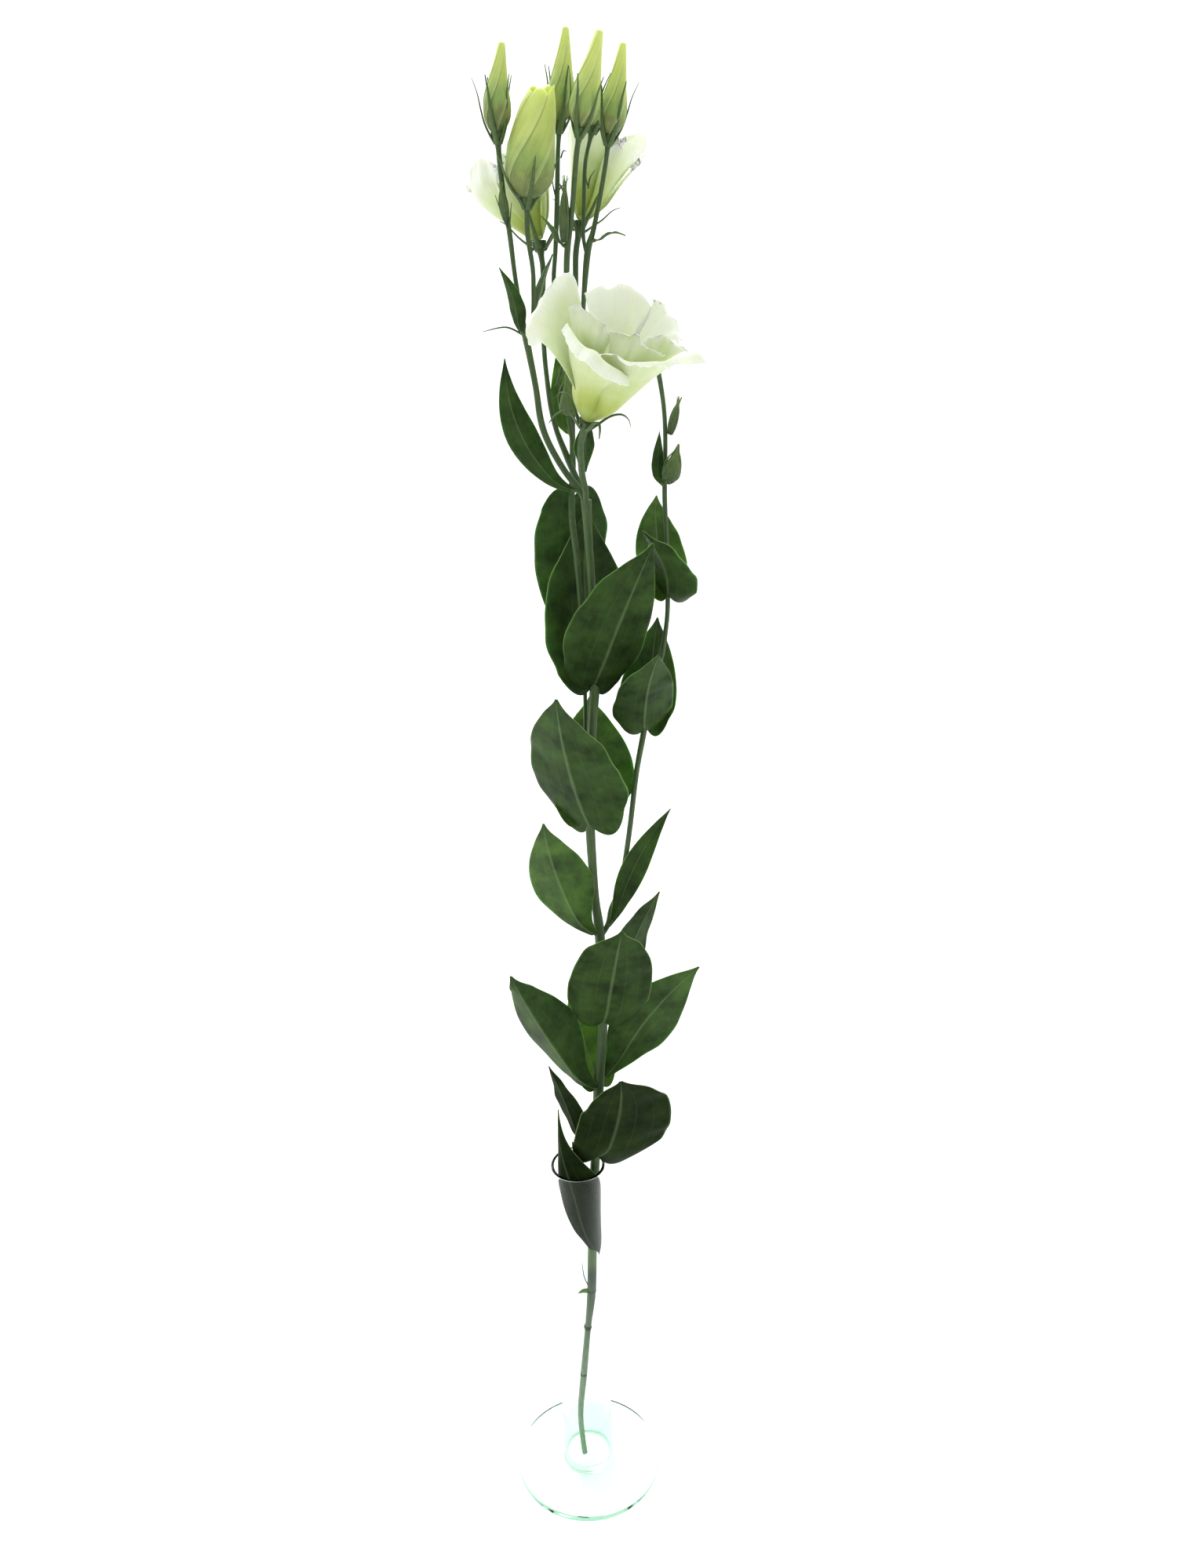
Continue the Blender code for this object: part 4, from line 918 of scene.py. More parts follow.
# Base, middle and tip, then the half width
NEEDLES = [
    ((3.2, 0.6, 122), (0.9, 0.2, 130), (0.3, 0, 139.5), 0.36),
    ((7.0, 10, 635), (7.9, 8.6, 637.2), (9.2, 8.0, 637.0), 0.30),
    ((16.2, 5.0, 625), (16.8, 4.2, 628), (18.7, 4.0, 631), 0.32),
    ((16.0, 5.0, 626), (15.6, 4.2, 628), (15.4, 4.0, 630.4), 0.26),
    ((4.6, 10, 622), (6.2, 7.2, 625), (9.6, 6.0, 628.5), 0.32),
    ((4.6, 10, 623), (4.0, 8.0, 626), (3.6, 7.0, 629.5), 0.30),
    ((-8.2, -3.4, 577.4), (-14.4, -5, 580.6), (-22.9, -5.5, 579.3), 0.42),
    ((-12.2, -3.6, 613), (-13.9, -5.4, 618), (-15.9, -6.0, 624), 0.34),
    ((-12.0, -3.6, 612), (-11.2, -5.4, 616), (-10.4, -6.0, 621.5), 0.32),
]
SCALE = ((3.4, 0.4, 119.4), (0.6, 0, 120.2), (-2.2, -0.4, 119.0))

rings = [tube([np.array(place) + (0, 0, -1.3), place, np.array(place) + (0, 0, 1.3)],
              [radius * 0.82, radius, radius * 0.84], sides=20, rings=12, tone=0.5)
         for place, radius in NODE_RINGS]
make_piece("node_scars", rings, stem_skin)
needles = [tube([base, middle, tip], [width, width * 0.85, width * 0.3], sides=8, rings=16, flat=0.5)
           for base, middle, tip, width in NEEDLES]
make_piece("stalk_needles", needles, stem_skin)
torn = tube(SCALE, [1.3, 1.5, 0.25], sides=10, rings=14, flat=0.25, side=(0, 0, 1), tone=1.0)
make_piece("torn_scale", [torn], leaf_skin)
print("rings:", len(rings), "needles:", len(needles))

# %% [markdown]
# ## Petal finish
#
# A white lisianthus petal is satin smooth and only a few cells thick. It is green yellow where
# it comes out of the calyx, pale lime along its belly and milk white at its ruffled rim, with
# fine veins that fan out from the base. The along number drives that change. Light scatters
# right through it, which is why the shaded side of a petal is nearly as bright as the lit one.

# %% Petal finish
PETAL_VEINS = 22


def satin_petal():
    """Thin white petal: lime base, milk-white rim, fine fanning veins, light all through it."""
    material, tree = new_material("satin_white_petal")
    reads = {name: add_node(tree, "ShaderNodeAttribute", {"attribute_name": name}).outputs["Fac"]
             for name in ("along", "across", "tone")}
    place = add_node(tree, "ShaderNodeTexCoord").outputs["Object"]
    # The green creeps up unevenly, in tongues between the veins
    tongues = add_node(tree, "ShaderNodeTexNoise", {"Scale": 220.0, "Detail": 3.0}, {"Vector": place})
    uneven = add_node(tree, "ShaderNodeMapRange", {"To Min": -0.12, "To Max": 0.12},
                      {"Value": tongues})
    height = add_node(tree, "ShaderNodeMath", {"operation": "ADD"}, {0: reads["along"], 1: uneven})
    lifted = add_node(tree, "ShaderNodeMath", {"operation": "ADD"}, {0: height, 1: reads["tone"]})
    colour = add_node(tree, "ShaderNodeValToRGB",
                      {"stops": [(0.0, "#8ea33c"), (0.24, "#b0c05e"), (0.42, "#bfce8b"),
                                 (0.62, "#d5dfba"), (0.85, "#e4e9de")]}, {"Fac": lifted})
    # Veins some 0.8 mm apart at the rim
    turns = add_node(tree, "ShaderNodeMath", {"operation": "MULTIPLY", 1: math.pi * PETAL_VEINS},
                     {0: reads["across"]})
    sway = add_node(tree, "ShaderNodeMath", {"operation": "MULTIPLY_ADD", 1: 5.0},
                    {0: tongues, 2: turns})
    wave = add_node(tree, "ShaderNodeMath", {"operation": "SINE"}, {0: sway})
    vein = add_node(tree, "ShaderNodeMapRange",
                    {"From Min": 0.55, "From Max": 1.0, "To Max": 0.08}, {"Value": wave})
    veined = add_node(tree, "ShaderNodeMix", {"data_type": "RGBA", 7: "#b9cb84"},
                      {0: vein, 6: colour}).outputs[2]
    grain = add_node(tree, "ShaderNodeTexNoise", {"Scale": 1500.0, "Detail": 2.0},
                     {"Vector": place})
    relief = add_node(tree, "ShaderNodeMath", {"operation": "MULTIPLY_ADD", 1: 0.35},
                      {0: grain, 2: wave})
    bump = add_node(tree, "ShaderNodeBump", {"Strength": 0.25, "Distance": 0.00008},
                    {"Height": relief})
    shader = add_node(tree, "ShaderNodeBsdfPrincipled",
                      {"IOR": 1.38, "Roughness": 0.55, "Subsurface Weight": 1.0,
                       "Subsurface Scale": 0.0005, "Subsurface Radius": (1.0, 1.0, 0.7),
                       "Sheen Weight": 0.2, "Sheen Roughness": 0.5},
                      {"Base Color": veined, "Normal": bump})
    add_node(tree, "ShaderNodeOutputMaterial", links={"Surface": shader})
    return material


# %% [markdown]
# ## The front flower
#
# Five broad petals overlap into a bell and open into a ruffled mouth, with two inner folds
# inside it. One rule can't give such loose, irregular petals, so each has its own small net of
# control points: five across at the throat, the belly and the crest, and how the rim rolls
# beyond the crest. A smooth surface through the net is then ruffled, more and more towards the
# rim.

# %% Petal nets
FLOWER_BASE = np.array((13.2, -20.4, 549.4))
FLOWER_AXIS = unit((0.35, -0.30, 0.89))
PETAL_NETS = {
    "front": (
        [(9.5, -27, 563.5), (11, -31, 562), (14.5, -33, 561.5), (18, -32, 560.5), (21, -28, 559)],
        [(8, -34, 574), (10.5, -41, 572.5), (14.5, -45, 570), (20, -45, 567.5), (24.5, -41, 564.5)],
        [(8, -38, 584.5), (11.5, -46, 579.5), (17, -51, 576), (22.5, -52, 572), (27, -48, 568.5)],
        [(-2.5, -2, -1.5), (-2.5, -3, -3), (-2.5, -3, -3.5), (-2, -3, -3.5), (0, -3, -3)],
    ),
    "right": (
        [(17.5, -30, 559.5), (21, -34, 558), (25, -34, 557.5), (28.5, -30, 558.5), (32, -24, 561)],
        [(19, -40, 568), (24.5, -46, 567), (30.5, -47, 566.5), (35.5, -42, 566.5), (40, -34, 568.5)],
        [(18, -45, 575), (26, -50, 573.5), (34.5, -51, 573), (42.5, -47, 573), (49.5, -40, 574.5)],
        [(-1, -2, 0.5), (0, -2.5, 0), (1, -2.5, -1), (2.5, -2.5, -2), (4.5, -1.5, -2.5)],
    ),
    "inner_right": (
        [(18, -25, 561.5), (19.5, -28, 561), (22, -29, 560.5), (24, -28, 560.5), (26, -26, 560.5)],
        [(21, -32, 571), (23.5, -37, 570.5), (26.5, -39, 570), (29.5, -39, 569.5), (33, -37, 568.5)],
        [(22, -34, 580), (26.5, -38, 579.5), (30.5, -41, 578.5), (34, -43, 575.5), (38.5, -43, 573)],
        [(0, -1, 2), (0, -1.5, 1.5), (0.5, -1.5, 1), (1, -1.5, 1), (1.5, -1, 1)],
    ),
    "inner_back": (
        [(23, -25, 560.5), (24.5, -22, 561), (26, -21, 561.5), (27.5, -21, 562), (29, -23, 562)],
        [(31, -34, 569.5), (33.5, -29, 569.5), (35.5, -27, 570), (37.5, -27, 570), (40.5, -28, 570)],
        [(32.5, -36, 576), (36, -32, 577.5), (39.5, -30, 577.5), (42.5, -31, 576), (46, -33, 573.5)],
        [(0.5, 0, 1.5), (1, 0, 1.5), (1, 0, 1.5), (1.5, 0, 1), (2, 0, 0)],
    ),
    "right_back": (
        [(23.5, -16, 566.5), (25.5, -15, 566.5), (28, -16, 566), (29.5, -18, 565), (30, -21, 564)],
        [(33.0, -10, 580.5), (35.5, -11, 579.5), (37, -13, 578), (39, -17, 576), (39.5, -22, 574)],
        [(37.5, -8, 587), (40, -8, 586.5), (42.5, -12, 583.5), (44, -17, 580), (44.5, -23, 577)],
        [(0, 1, 1.5), (1, 1, 1), (2.5, 0, -1), (2.5, -1, -2), (2, -1, -1.5)],
    ),
    "back": (
        [(16.5, -19, 570), (18.5, -16, 570.5), (21.5, -14, 570.5), (24, -13, 570), (27, -14, 568)],
        [(15.5, -18, 583), (19.5, -13, 584), (24.5, -10, 584), (29.5, -9, 582.5), (34, -11, 580)],
        [(14, -17, 590.5), (18.5, -11, 592), (25, -7, 592), (31, -6, 591), (37, -9, 586.5)],
        [(0, 2, 1), (0, 2.5, 1.5), (0, 2.5, 1.5), (0, 2.5, 1.5), (0, 2, 1)],
    ),
    "left": (
        [(14, -19, 572.5), (12, -20, 573), (9.5, -23, 571), (8.5, -26, 567.5), (9.5, -27, 561.5)],
        [(13, -19, 585.5), (9, -21, 588), (4.5, -26, 586), (2.5, -32, 579.5), (4.5, -34, 571.5)],
        [(12, -17, 593.5), (9, -20, 597.5), (2, -27, 592), (-3.5, -34, 585), (-1.5, -38, 578.5)],
        [(0, 1, 1), (-1, 1, 2), (-2.5, 0, 0.5), (-3, -1, -2), (-2, -1.5, -3)],
    ),
    "inner_left": (
        [(12, -23, 564), (13, -26, 564.5), (14.5, -28, 564), (16, -28, 563), (17.5, -26, 562)],
        [(9.5, -27, 578.5), (12, -31, 579.5), (15, -34, 577.5), (17.5, -35, 575.5), (19.5, -33, 573.5)],
        [(8.5, -26, 586.5), (12.5, -28, 587), (16.5, -32, 584.5), (19.5, -34, 581.5), (22, -33, 578.5)],
        [(-0.5, 0, 2), (0, -0.5, 2), (0, -0.5, 2), (0.5, -0.5, 1.5), (0.5, 0, 1.5)],
    ),
}
# Ruffle height in millimetres, how ragged the rim is, and how far the green is pushed down
PETAL_RUFFLES = {
    "front": (0.8, 0.3, -0.08), "right": (1.0, 1.0, -0.10), "inner_right": (0.9, 0.4, -0.03),
    "inner_back": (0.9, 0.6, -0.04), "right_back": (1.1, 1.1, 0.28), "back": (1.0, 0.5, 0.28),
    "left": (0.9, 0.5, 0.04), "inner_left": (1.0, 0.5, -0.03),
}
print("petals in the front flower:", len(PETAL_NETS))

# %% Petals
PETAL_FLESH = 0.34
PETAL_RIM = 0.18


def ripple_line(s, seed, waves):
    """A line of irregular waves across a petal, between about -1 and 1."""
    line = 0
    for k, (count, share) in enumerate(waves):
        line = line + share * np.sin(2 * math.pi * count * (s + 1) / 2 + 1.7 * seed * (k + 1) + k)
    return line


def ruffle(grid, t, s, height, ragged, seed, start=0.45):
    """Wave a petal's grid up and down, and fray its end, growing from a start to its rim."""
    growth = np.clip((t - start) / (1 - start), 0, 1) ** 1.5
    normal = grid_normal(grid)
    waves = ripple_line(s + 0.15 * t, seed, ((1.7, 0.7), (3.3, 0.55), (5.1, 0.2)))
    fine = ripple_line(s, seed + 3, ((7.7, 0.6), (11.3, 0.4)))
    out = unit(np.gradient(grid, axis=0))
    fray = ripple_line(s, seed + 5, ((5.7, 0.5), (11.9, 0.5), (17.1, 0.3)))
    lift = height * (waves * growth + 0.16 * fine * growth ** 4)
    return grid + normal * lift[..., None] + out * (0.9 * ragged * fray * growth ** 4)[..., None]


def petal_skin(grid, t, s, tone):
    """Thicken a petal's grid, thinner towards the rim."""
    edge = np.maximum(np.abs(s) ** 8 * np.ones_like(t), t ** 8 * np.ones_like(s))
    flesh = (PETAL_FLESH + (PETAL_RIM - PETAL_FLESH) * edge) / 2
    return skin(grid, flesh, flesh, t * np.ones_like(s), s * np.ones_like(t), tone)


def net_petal(name):
    """One petal of the front flower, from its net of control points."""
    throat, belly, crest, roll = (np.array(row, float) for row in PETAL_NETS[name])
    height, ragged, tone = PETAL_RUFFLES[name]
    offset = throat - FLOWER_BASE
    outward = unit(offset - np.outer(offset @ FLOWER_AXIS, FLOWER_AXIS))
    root = FLOWER_BASE + FLOWER_AXIS + outward * 1.8
    hip = root + (throat - root) * 0.45 + outward * 1.6
    net = np.array([root, hip, throat, belly, crest, crest + roll])
    t = np.linspace(0, 1, 65)[:, None]
    s = np.linspace(-1, 1, 57)[None, :]
    spread = smooth(net, t.ravel())
    grid = smooth(spread.transpose(1, 0, 2), (s.ravel() + 1) / 2).transpose(1, 0, 2)
    seed = sum(ord(c) for c in name) % 13
    grid = ruffle(grid, t, s, height, ragged, seed)
    return petal_skin(grid, t, s, tone)


petal_finish = satin_petal()
PETAL_PIECES = {
    "front_petal": (["front"], ["petal_front"]),
    "right_petal": (["right"], ["petal_right"]),
    "inner_folds": (["inner_left", "inner_right"], ["petal_inner"]),
    "right_back_petal": (["right_back", "inner_back"], ["petal_right_back"]),
    "back_petal": (["back"], ["petal_back"]),
    "left_petal": (["left"], ["petal_left"]),
}
for name, (nets, nodes) in PETAL_PIECES.items():
    piece = make_piece(name, [net_petal(net) for net in nets], petal_finish, nodes)
    print(name, "off its solid by", round(gap_to_solid(piece, nodes[0]), 1), "mm")

# %% [markdown]
# ## The two flowers behind
#
# These are seen from their side and back, so their bells matter more than their mouths. Each
# bell is one outline that changes with the heading. Five petals are cut from it as overlapping
# patches, each with one edge outside its neighbour and one edge inside, like a pinwheel.

# %% Bells
BELLS = {
    "flower_2_corolla": {
        "base": (-1.8, 16.3, 607), "axis": (-0.30, 0.38, 0.87),
        "profiles": {0: ((2, 2), (6, 10), (9, 19), (11, 27), (12, 33)),
                     120: ((2, 2), (6, 10), (10, 19), (13, 28), (14, 34)),
                     200: ((2, 2), (6, 9), (12, 15), (16, 23), (13, 33))},
        "first": 210, "tone": 0.04, "ruffle": 1.7,
    },
    "flower_3_corolla": {
        "base": (13.3, 21.0, 613.2), "axis": (0.32, 0.46, 0.83),
        "profiles": {0: ((2, 2), (6, 10), (9, 19), (12.5, 28), (16, 35)),
                     45: ((2, 2), (6, 10), (9, 20), (12, 31), (17, 42)),
                     120: ((2, 2), (6, 10), (9, 19), (12, 27), (14, 33)),
                     240: ((2, 2), (6, 10), (9, 19), (12, 27), (15, 32))},
        "first": 334, "tone": 0.04, "ruffle": 0.6,
    },
}
PETALS_IN_BELL = 5
BELL_HALF_ANGLE = 50
BELL_SPREAD = (0.80, 0.86, 0.96, 1.02, 1.02, 0.92, 0.66)
PINWHEEL = 1.3
LOBE_DEPTH = 0.22


def bell_surface(flower, heading, t):
    """Points on a flower's bell for grids of headings in degrees and shares of its length."""
    starts = np.array(sorted(flower["profiles"]), float)
    outlines = np.array([flower["profiles"][h] for h in sorted(flower["profiles"])], float)
    rows = smooth(outlines.transpose(1, 0, 2), t.ravel())
    turn = (heading.ravel() - starts[0]) % 360
    ends = np.append(starts[1:] - starts[0], 360)
    k = np.searchsorted(starts - starts[0], turn, side="right") - 1
    share = (turn - (starts[k] - starts[0])) / (ends[k] - (starts[k] - starts[0]))
    share = (share * share * (3 - 2 * share))[:, None]
    each = np.arange(len(turn))
    pair = rows[each, k] * (1 - share) + rows[each, (k + 1) % len(starts)] * share
    axis = unit(flower["axis"])
    right = unit(np.array((1.0, 0, 0)) - axis * axis[0])
    away = np.cross(axis, right)
    angle = np.radians(heading.ravel())[:, None]
    outward = right * np.cos(angle) + away * np.sin(angle)
    points = np.array(flower["base"], float) + axis * pair[:, 1:] + outward * pair[:, :1]
    return points.reshape(*heading.shape, 3)


def bell_petal(flower, number):
    """One petal of a bell, stepped outwards at one edge, lobed and ruffled."""
    u = np.linspace(0, 1, 57)[:, None]
    s = np.linspace(-1, 1, 45)[None, :]
    spread = smooth(BELL_SPREAD, u.ravel())[:, None] * BELL_HALF_ANGLE
    heading = flower["first"] + 360 * number / PETALS_IN_BELL + spread * s
    t = u * (1 - LOBE_DEPTH * u * s * s) * np.ones_like(s)
    grid = bell_surface(flower, heading, t)
    step = PINWHEEL * s * np.minimum(1, 4 * t)
    grid = grid - grid_normal(grid) * step[..., None]
    grid = ruffle(grid, u, s, flower["ruffle"], 0.4, 3 * number + 2, start=0.5)
    return petal_skin(grid, u, s, flower["tone"])


for name, flower in BELLS.items():
    parts = [bell_petal(flower, number) for number in range(PETALS_IN_BELL)]
    piece = make_piece(name + "_petals", parts, petal_finish, [name])
    print(name, "off its solid by", round(gap_to_solid(piece, name), 1), "mm")

# %% [markdown]
# ## Bud finish
#
# A bud is its petals, tightly furled, still greenish and firm. The colour runs from leaf green
# at the calyx to pale yellow green at the tip. Each petal has a pale free edge, and a fine line of
# painted shadow darkens the next petal just under that edge, where it lies on it. Inside each
# petal, the across number runs from the covered edge to the free one, so it places both.

# %% Bud finish
def furled_petals():
    """Furled green petals: satin, pale along their free edges, veined the way they wind, with a painted shadow under
    each free edge.
    """
    material, tree = new_material("furled_bud_petals")
    reads = {name: add_node(tree, "ShaderNodeAttribute", {"attribute_name": name}).outputs["Fac"]
             for name in ("along", "across", "tone")}
    place = add_node(tree, "ShaderNodeTexCoord").outputs["Object"]
    clouds = add_node(tree, "ShaderNodeTexNoise", {"Scale": 250.0, "Detail": 3.0}, {"Vector": place})
    uneven = add_node(tree, "ShaderNodeMapRange", {"To Min": -0.15, "To Max": 0.15},
                      {"Value": clouds})
    height = add_node(tree, "ShaderNodeMath", {"operation": "ADD"}, {0: reads["along"], 1: uneven})
    lifted = add_node(tree, "ShaderNodeMath", {"operation": "ADD"}, {0: height, 1: reads["tone"]})
    colour = add_node(tree, "ShaderNodeValToRGB",
                      {"stops": [(0.0, "#5a7234"), (0.3, "#b1c173"), (0.65, "#d4de98"),
                                 (1.0, "#e4edac")]}, {"Fac": lifted})
    # Veins that run with the winding petals, about 0.7 mm apart
    lines = add_node(tree, "ShaderNodeCombineXYZ", links={"X": reads["across"], "Y": reads["along"]})
    drawn = add_node(tree, "ShaderNodeMapping", {"Scale": (9, 1.5, 1)}, {"Vector": lines})
    veins = add_node(tree, "ShaderNodeTexNoise", {"Scale": 1.6, "Detail": 3.0}, {"Vector": drawn})
    shade = add_node(tree, "ShaderNodeValToRGB", {"stops": [(0.35, "#747474"), (0.65, "#8f8f88")]},
                     {"Fac": veins})
    veined = add_node(tree, "ShaderNodeMix",
                      {"data_type": "RGBA", "blend_type": "OVERLAY", 0: 0.8},
                      {6: colour, 7: shade}).outputs[2]
    edge = add_node(tree, "ShaderNodeMapRange",
                    {"From Min": 0.80, "From Max": 0.97, "To Max": 0.22}, {"Value": reads["across"]})
    edged = add_node(tree, "ShaderNodeMix", {"data_type": "RGBA", 7: "#e6edbf"},
                     {0: edge, 6: veined}).outputs[2]
    # Painted shadow: a fine dark line on the covered side of each seam, under the next petal's free edge
    painted_seam_shadow = add_node(tree, "ShaderNodeMapRange",
                   {"From Min": 0.09, "From Max": 0.0, "To Max": 0.35}, {"Value": reads["across"]})
    with_painted_seam_shadow = add_node(tree, "ShaderNodeMix", {"data_type": "RGBA", 7: "#5b7330"},
                      {0: painted_seam_shadow, 6: edged}).outputs[2]
    bump = add_node(tree, "ShaderNodeBump", {"Strength": 0.4, "Distance": 0.0002},
                    {"Height": veins})
    rough = add_node(tree, "ShaderNodeMapRange", {"To Min": 0.42, "To Max": 0.60},
                     {"Value": clouds})
    shader = add_node(tree, "ShaderNodeBsdfPrincipled",
                      {"IOR": 1.40, "Subsurface Weight": 0.6, "Subsurface Scale": 0.0015,
                       "Subsurface Radius": (0.9, 1.0, 0.55)},
                      {"Base Color": with_painted_seam_shadow, "Roughness": rough, "Normal": bump})
    add_node(tree, "ShaderNodeOutputMaterial", links={"Surface": shader})
    return material


# %% [markdown]
# ## Buds
#
# The petals of a closed bud wind round each other like a furled umbrella. A plain spindle would
# miss that, so the spindle's section is a spiral ratchet: the radius grows across each petal and
# drops at its free edge, and the whole section turns on its way up. One bud is about to open:
# its tips part round a hollow mouth.

# %% Bud table
BUD_OUTLINE = (0.30, 0.66, 0.94, 1.0, 0.89, 0.70, 0.50, 0.35, 0.24)
OPENING_OUTLINE = (0.20, 0.66, 0.95, 1.0, 0.97, 0.90, 0.80, 0.68, 0.50)
SMALL_OUTLINE = (0.14, 0.70, 1.0, 0.80, 0.38, 0.12)
ROUND_OUTLINE_BUD = (0.14, 0.90, 1.0, 0.80, 0.30, 0.08)
# Base, middle and tip of the axis, greatest radius, outline, turn in degrees, tone
BUDS = {
    "bud_1": ((-14.2, -3, 642.6), (-13.6, -3, 655), (-11.3, -3, 670), 4.4, BUD_OUTLINE, 130, -0.08),
    "bud_2": ((-5.1, -3, 622.1), (-3, -3, 637), (0.8, -3, 654.5), 8.0, OPENING_OUTLINE, 110, 0.0),
    "bud_3": ((6.9, 10, 645.6), (8.3, 10, 659), (10, 10, 675), 4.3, BUD_OUTLINE, 120, 0.0),
    "bud_4": ((14, -9.1, 643.6), (16.6, -10.4, 656), (21, -11.6, 672), 4.8, BUD_OUTLINE, 140, 0.05),
    "bud_5": ((23.8, 1.7, 641.1), (26, 0.6, 653), (29, -0.4, 669), 4.4, BUD_OUTLINE, 125, 0.0),
    "bud_6": ((18.5, 13.5, 644.1), (19.8, 13.8, 650), (21.5, 14, 657.5), 2.9, BUD_OUTLINE, 110, 0.05),
}
SMALL_BUDS = {
    "small_bud_centre": ((6.8, 0.4, 549.6), (7, -2.6, 554), (6.6, -3.2, 563), 3.2, ROUND_OUTLINE_BUD),
    "small_bud_fork": ((7.2, -2.8, 609), (7.2, -4.2, 616), (8.2, -5, 628), 1.4, SMALL_OUTLINE),
    "small_bud_left": ((-12.7, -5, 617), (-13, -6.2, 621), (-13.8, -6.4, 627), 1.3, SMALL_OUTLINE),
    "small_bud_right": ((44, 0.6, 523), (45.4, -1.2, 528.5), (47.3, -1.6, 536), 3.2, ROUND_OUTLINE_BUD),
    "small_bud_side": ((45, 5.2, 540.5), (46.2, 4, 546), (48, 3, 552.5), 1.4, SMALL_OUTLINE),
    "small_bud_tip": ((39.9, 17.9, 567.2), (39.6, 19, 572), (39, 20.5, 580), 2.2, SMALL_OUTLINE),
}
BUD_PETALS = 5
BUD_STEP = 0.40
COLUMNS_PER_PETAL = 15


def furled_bud(base, middle, tip, radius, outline, turn, tone, step=BUD_STEP, mouth=0.0):
    """A bud as a ratchet-shaped section that winds up a bent axis; a mouth leaves it open."""
    rings = 61
    t = np.linspace(0, 1, rings)
    points = smooth([base, middle, tip], t)
    size = smooth(np.array(outline) * radius * 1.06, t)
    if mouth:
        # The rim turns in and runs back down inside, so the tip is a thin-walled cup
        back = np.linspace(0, 1, 16)[1:]
        t = np.concatenate([t, 1 - back * 0.28])
        points = np.vstack([points, smooth([base, middle, tip], 1 - back * 0.28)])
        size = np.concatenate([size, size[-1] * (1 - 0.16 * np.sqrt(back)) - 0.5 * back])
    tangent = unit(np.gradient(smooth([base, middle, tip], np.linspace(0, 1, rings)), axis=0))
    tangent = tangent[np.clip((t * (rings - 1)).astype(int), 0, rings - 1)]
    front = unit(np.array((0, -1.0, 0)) - tangent * tangent[:, 1:2] * -1)
    sideways = np.cross(tangent, front)
    share = np.linspace(0, 0.985, COLUMNS_PER_PETAL)
    share = np.tile(share, BUD_PETALS)
    petal = np.repeat(np.arange(BUD_PETALS), COLUMNS_PER_PETAL)
    angle = 2 * math.pi * (petal + share) / BUD_PETALS
    angle = angle[None, :] + np.radians(turn) * t[:, None] ** 1.15
    ratchet = step * np.clip(4 * t, 0, 1)[:, None] * (share - 0.5)[None, :]
    around = size[:, None] + ratchet * np.clip(size / radius, 0.35, 1)[:, None]
    body = (points[:, None] + front[:, None] * (np.cos(angle) * around)[..., None]
            + sideways[:, None] * (np.sin(angle) * around)[..., None])
    if mouth:
        arch = np.sin(math.pi * share) ** 0.7 * (0.25 + np.cos(2.4 * petal) ** 2)
        body = body + tangent[:, None] * (mouth * arch * np.clip((t[:, None] - 0.8) / 0.2, 0, 1))[..., None]
    count, sides = body.shape[:2]
    ends = [points[0], points[-1]] if mouth else [points[0], points[-1] + tangent[-1] * 0.5]
    cloud = np.concatenate([body.reshape(-1, 3), ends])
    along = np.concatenate([np.repeat(t, sides), [0, t[-1]]])
    across = np.concatenate([np.tile(share, count), [0.5, 0.5]])
    return part(cloud, ring_faces(count, sides), along=along, across=across, tone=tone)


# %% Buds
bud_skin = furled_petals()
for name, row in BUDS.items():
    mouth = 3.0 if name == "bud_2" else 0.0
    piece = make_piece(name + "_furled", [furled_bud(*row, mouth=mouth)], bud_skin, [name])
    print(name, "off its solid by", round(gap_to_solid(piece, name), 1), "mm")

# %% [markdown]
# ## Young buds
#
# The smallest buds are still wrapped in their sepals, green and matt. They are built as the big
# ones are, with a shallower ratchet, and five needle sepals grow past their tips.

# %% Young buds
def young_bud_skin():
    """Young bud tissue: matt mid green, lighter at the tip, faintly streaked."""
    material, tree = new_material("matt_young_bud")
    along = add_node(tree, "ShaderNodeAttribute", {"attribute_name": "along"}).outputs["Fac"]
    place = add_node(tree, "ShaderNodeTexCoord").outputs["Object"]
    # Streaks about 0.5 mm wide
    drawn_out = add_node(tree, "ShaderNodeMapping", {"Scale": (1, 1, 0.2)}, {"Vector": place})
    streaks = add_node(tree, "ShaderNodeTexNoise", {"Scale": 1900.0, "Detail": 2.0},
                       {"Vector": drawn_out})
    colour = add_node(tree, "ShaderNodeValToRGB",
                      {"stops": [(0.0, "#4a6534"), (0.6, "#6d8a4a"), (1.0, "#8aa35c")]},
                      {"Fac": along})
    shade = add_node(tree, "ShaderNodeValToRGB", {"stops": [(0.3, "#6e6e6e"), (0.7, "#929292")]},
                     {"Fac": streaks})
    streaked = add_node(tree, "ShaderNodeMix",
                        {"data_type": "RGBA", "blend_type": "OVERLAY", 0: 0.8},
                        {6: colour, 7: shade}).outputs[2]
    bump = add_node(tree, "ShaderNodeBump", {"Strength": 0.3, "Distance": 0.0002},
                    {"Height": streaks})
    shader = add_node(tree, "ShaderNodeBsdfPrincipled",
                      {"IOR": 1.42, "Roughness": 0.55, "Subsurface Weight": 0.4,
                       "Subsurface Scale": 0.001, "Subsurface Radius": (0.6, 1.0, 0.25)},
                      {"Base Color": streaked, "Normal": bump})
    add_node(tree, "ShaderNodeOutputMaterial", links={"Surface": shader})
    return material


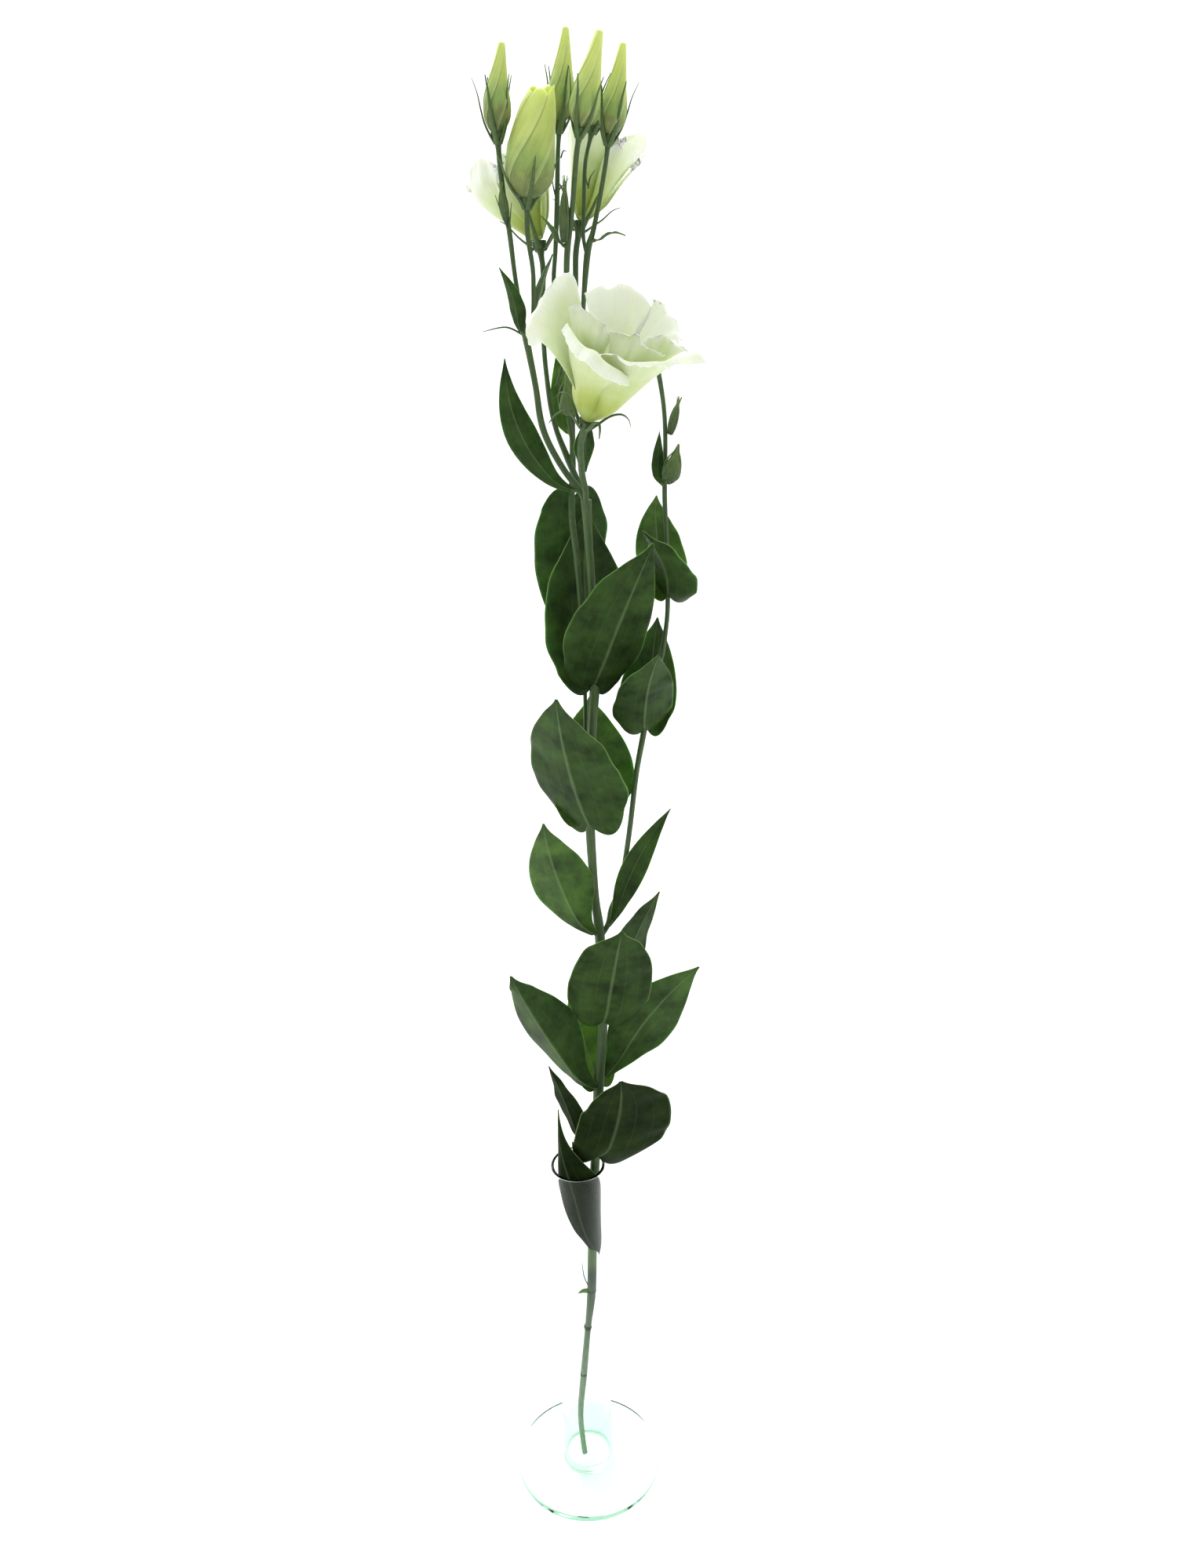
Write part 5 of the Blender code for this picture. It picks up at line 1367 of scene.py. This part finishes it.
young_skin = young_bud_skin()
for name, (base, middle, tip, radius, outline) in SMALL_BUDS.items():
    base, tip = np.array(base, float), np.array(tip, float)
    axis = unit(tip - base)
    length = np.linalg.norm(tip - base)
    parts = [furled_bud(base, middle, tip, radius, outline, 60, 0.0, step=0.2)]
    path = [(0.5, -0.8), (radius * 0.86, length * 0.12), (radius * 1.05, length * 0.4),
            (radius * 0.8, length * 0.66), (radius * 0.34, length * 0.86),
            (0.3 if outline is ROUND_OUTLINE_BUD else radius * 0.7, length * 1.08)]
    parts += sepals(base, axis, path, 20)
    joint, _ = nearest_stem(base)
    parts.append(tube([joint, (joint + base) / 2, base + axis * 0.8], [0.7, 0.6, 0.7], sides=10, rings=8))
    piece = make_piece(name + "_wrapped", parts, young_skin, [name])
    print(name, "off its solid by", round(gap_to_solid(piece, name), 1), "mm")

# %% [markdown]
# ## Pistil
#
# Deep in the front flower stands a pale green style with a broad two-lobed stigma, and five
# short stamens lean round it. They are only glimpsed, but they carry the warm yellow that the
# throat shows.

# %% Pistil
def waxy_pistil():
    """Stigma and anthers: waxy, dusted with pollen grains that show as fine grain."""
    material, tree = new_material("waxy_yellow_pistil")
    along = add_node(tree, "ShaderNodeAttribute", {"attribute_name": "along"}).outputs["Fac"]
    place = add_node(tree, "ShaderNodeTexCoord").outputs["Object"]
    # Pollen is 0.03 mm across; it is drawn ten times as coarse so that it shows
    dust = add_node(tree, "ShaderNodeTexNoise", {"Scale": 3000.0, "Detail": 2.0}, {"Vector": place})
    colour = add_node(tree, "ShaderNodeValToRGB",
                      {"stops": [(0.0, "#a9b95a"), (0.6, "#c3c95c"), (1.0, "#d9cf5a")]},
                      {"Fac": along})
    speckled = add_node(tree, "ShaderNodeMix", {"data_type": "RGBA", 7: "#e8dc7c"},
                        {0: dust, 6: colour}).outputs[2]
    bump = add_node(tree, "ShaderNodeBump", {"Strength": 0.5, "Distance": 0.0002}, {"Height": dust})
    shader = add_node(tree, "ShaderNodeBsdfPrincipled",
                      {"IOR": 1.42, "Roughness": 0.5, "Subsurface Weight": 0.5,
                       "Subsurface Scale": 0.001, "Subsurface Radius": (1.0, 0.9, 0.3)},
                      {"Base Color": speckled, "Normal": bump})
    add_node(tree, "ShaderNodeOutputMaterial", links={"Surface": shader})
    return material


PISTIL_LENGTH = 18.0
style_base = FLOWER_BASE + FLOWER_AXIS * 4.5
across_flower = unit(np.cross(FLOWER_AXIS, (0, -1.0, 0)))
style_tip = style_base + FLOWER_AXIS * (PISTIL_LENGTH - 2.5)
parts = [tube([style_base, (style_base + style_tip) / 2, style_tip],
              [0.9, 1.9, 1.9, 1.3, 0.8, 0.7, 0.8], sides=16, rings=40)]
for turn in (-1, 1):
    lobe = [style_tip - FLOWER_AXIS * 0.5, style_tip + across_flower * turn * 0.9 + FLOWER_AXIS * 0.9,
            style_tip + across_flower * turn * 1.7 + FLOWER_AXIS * 2.0]
    parts.append(tube(lobe, [0.8, 1.25, 0.5], sides=12, rings=14, flat=0.6, side=across_flower))
for k in range(5):
    lean = turned_about(across_flower, FLOWER_AXIS, 72 * k + 30)
    route = [style_base + lean * 0.8, style_base + lean * 2.0 + FLOWER_AXIS * 5,
             style_base + lean * 2.6 + FLOWER_AXIS * 9]
    parts.append(tube(route, [0.25, 0.22, 0.2, 0.5, 0.55, 0.2], sides=8, rings=24))
piece = make_piece("pistil_and_stamens", parts, waxy_pistil(), ["pistil"])
print("pistil off its solid by", round(gap_to_solid(piece, "pistil"), 1), "mm")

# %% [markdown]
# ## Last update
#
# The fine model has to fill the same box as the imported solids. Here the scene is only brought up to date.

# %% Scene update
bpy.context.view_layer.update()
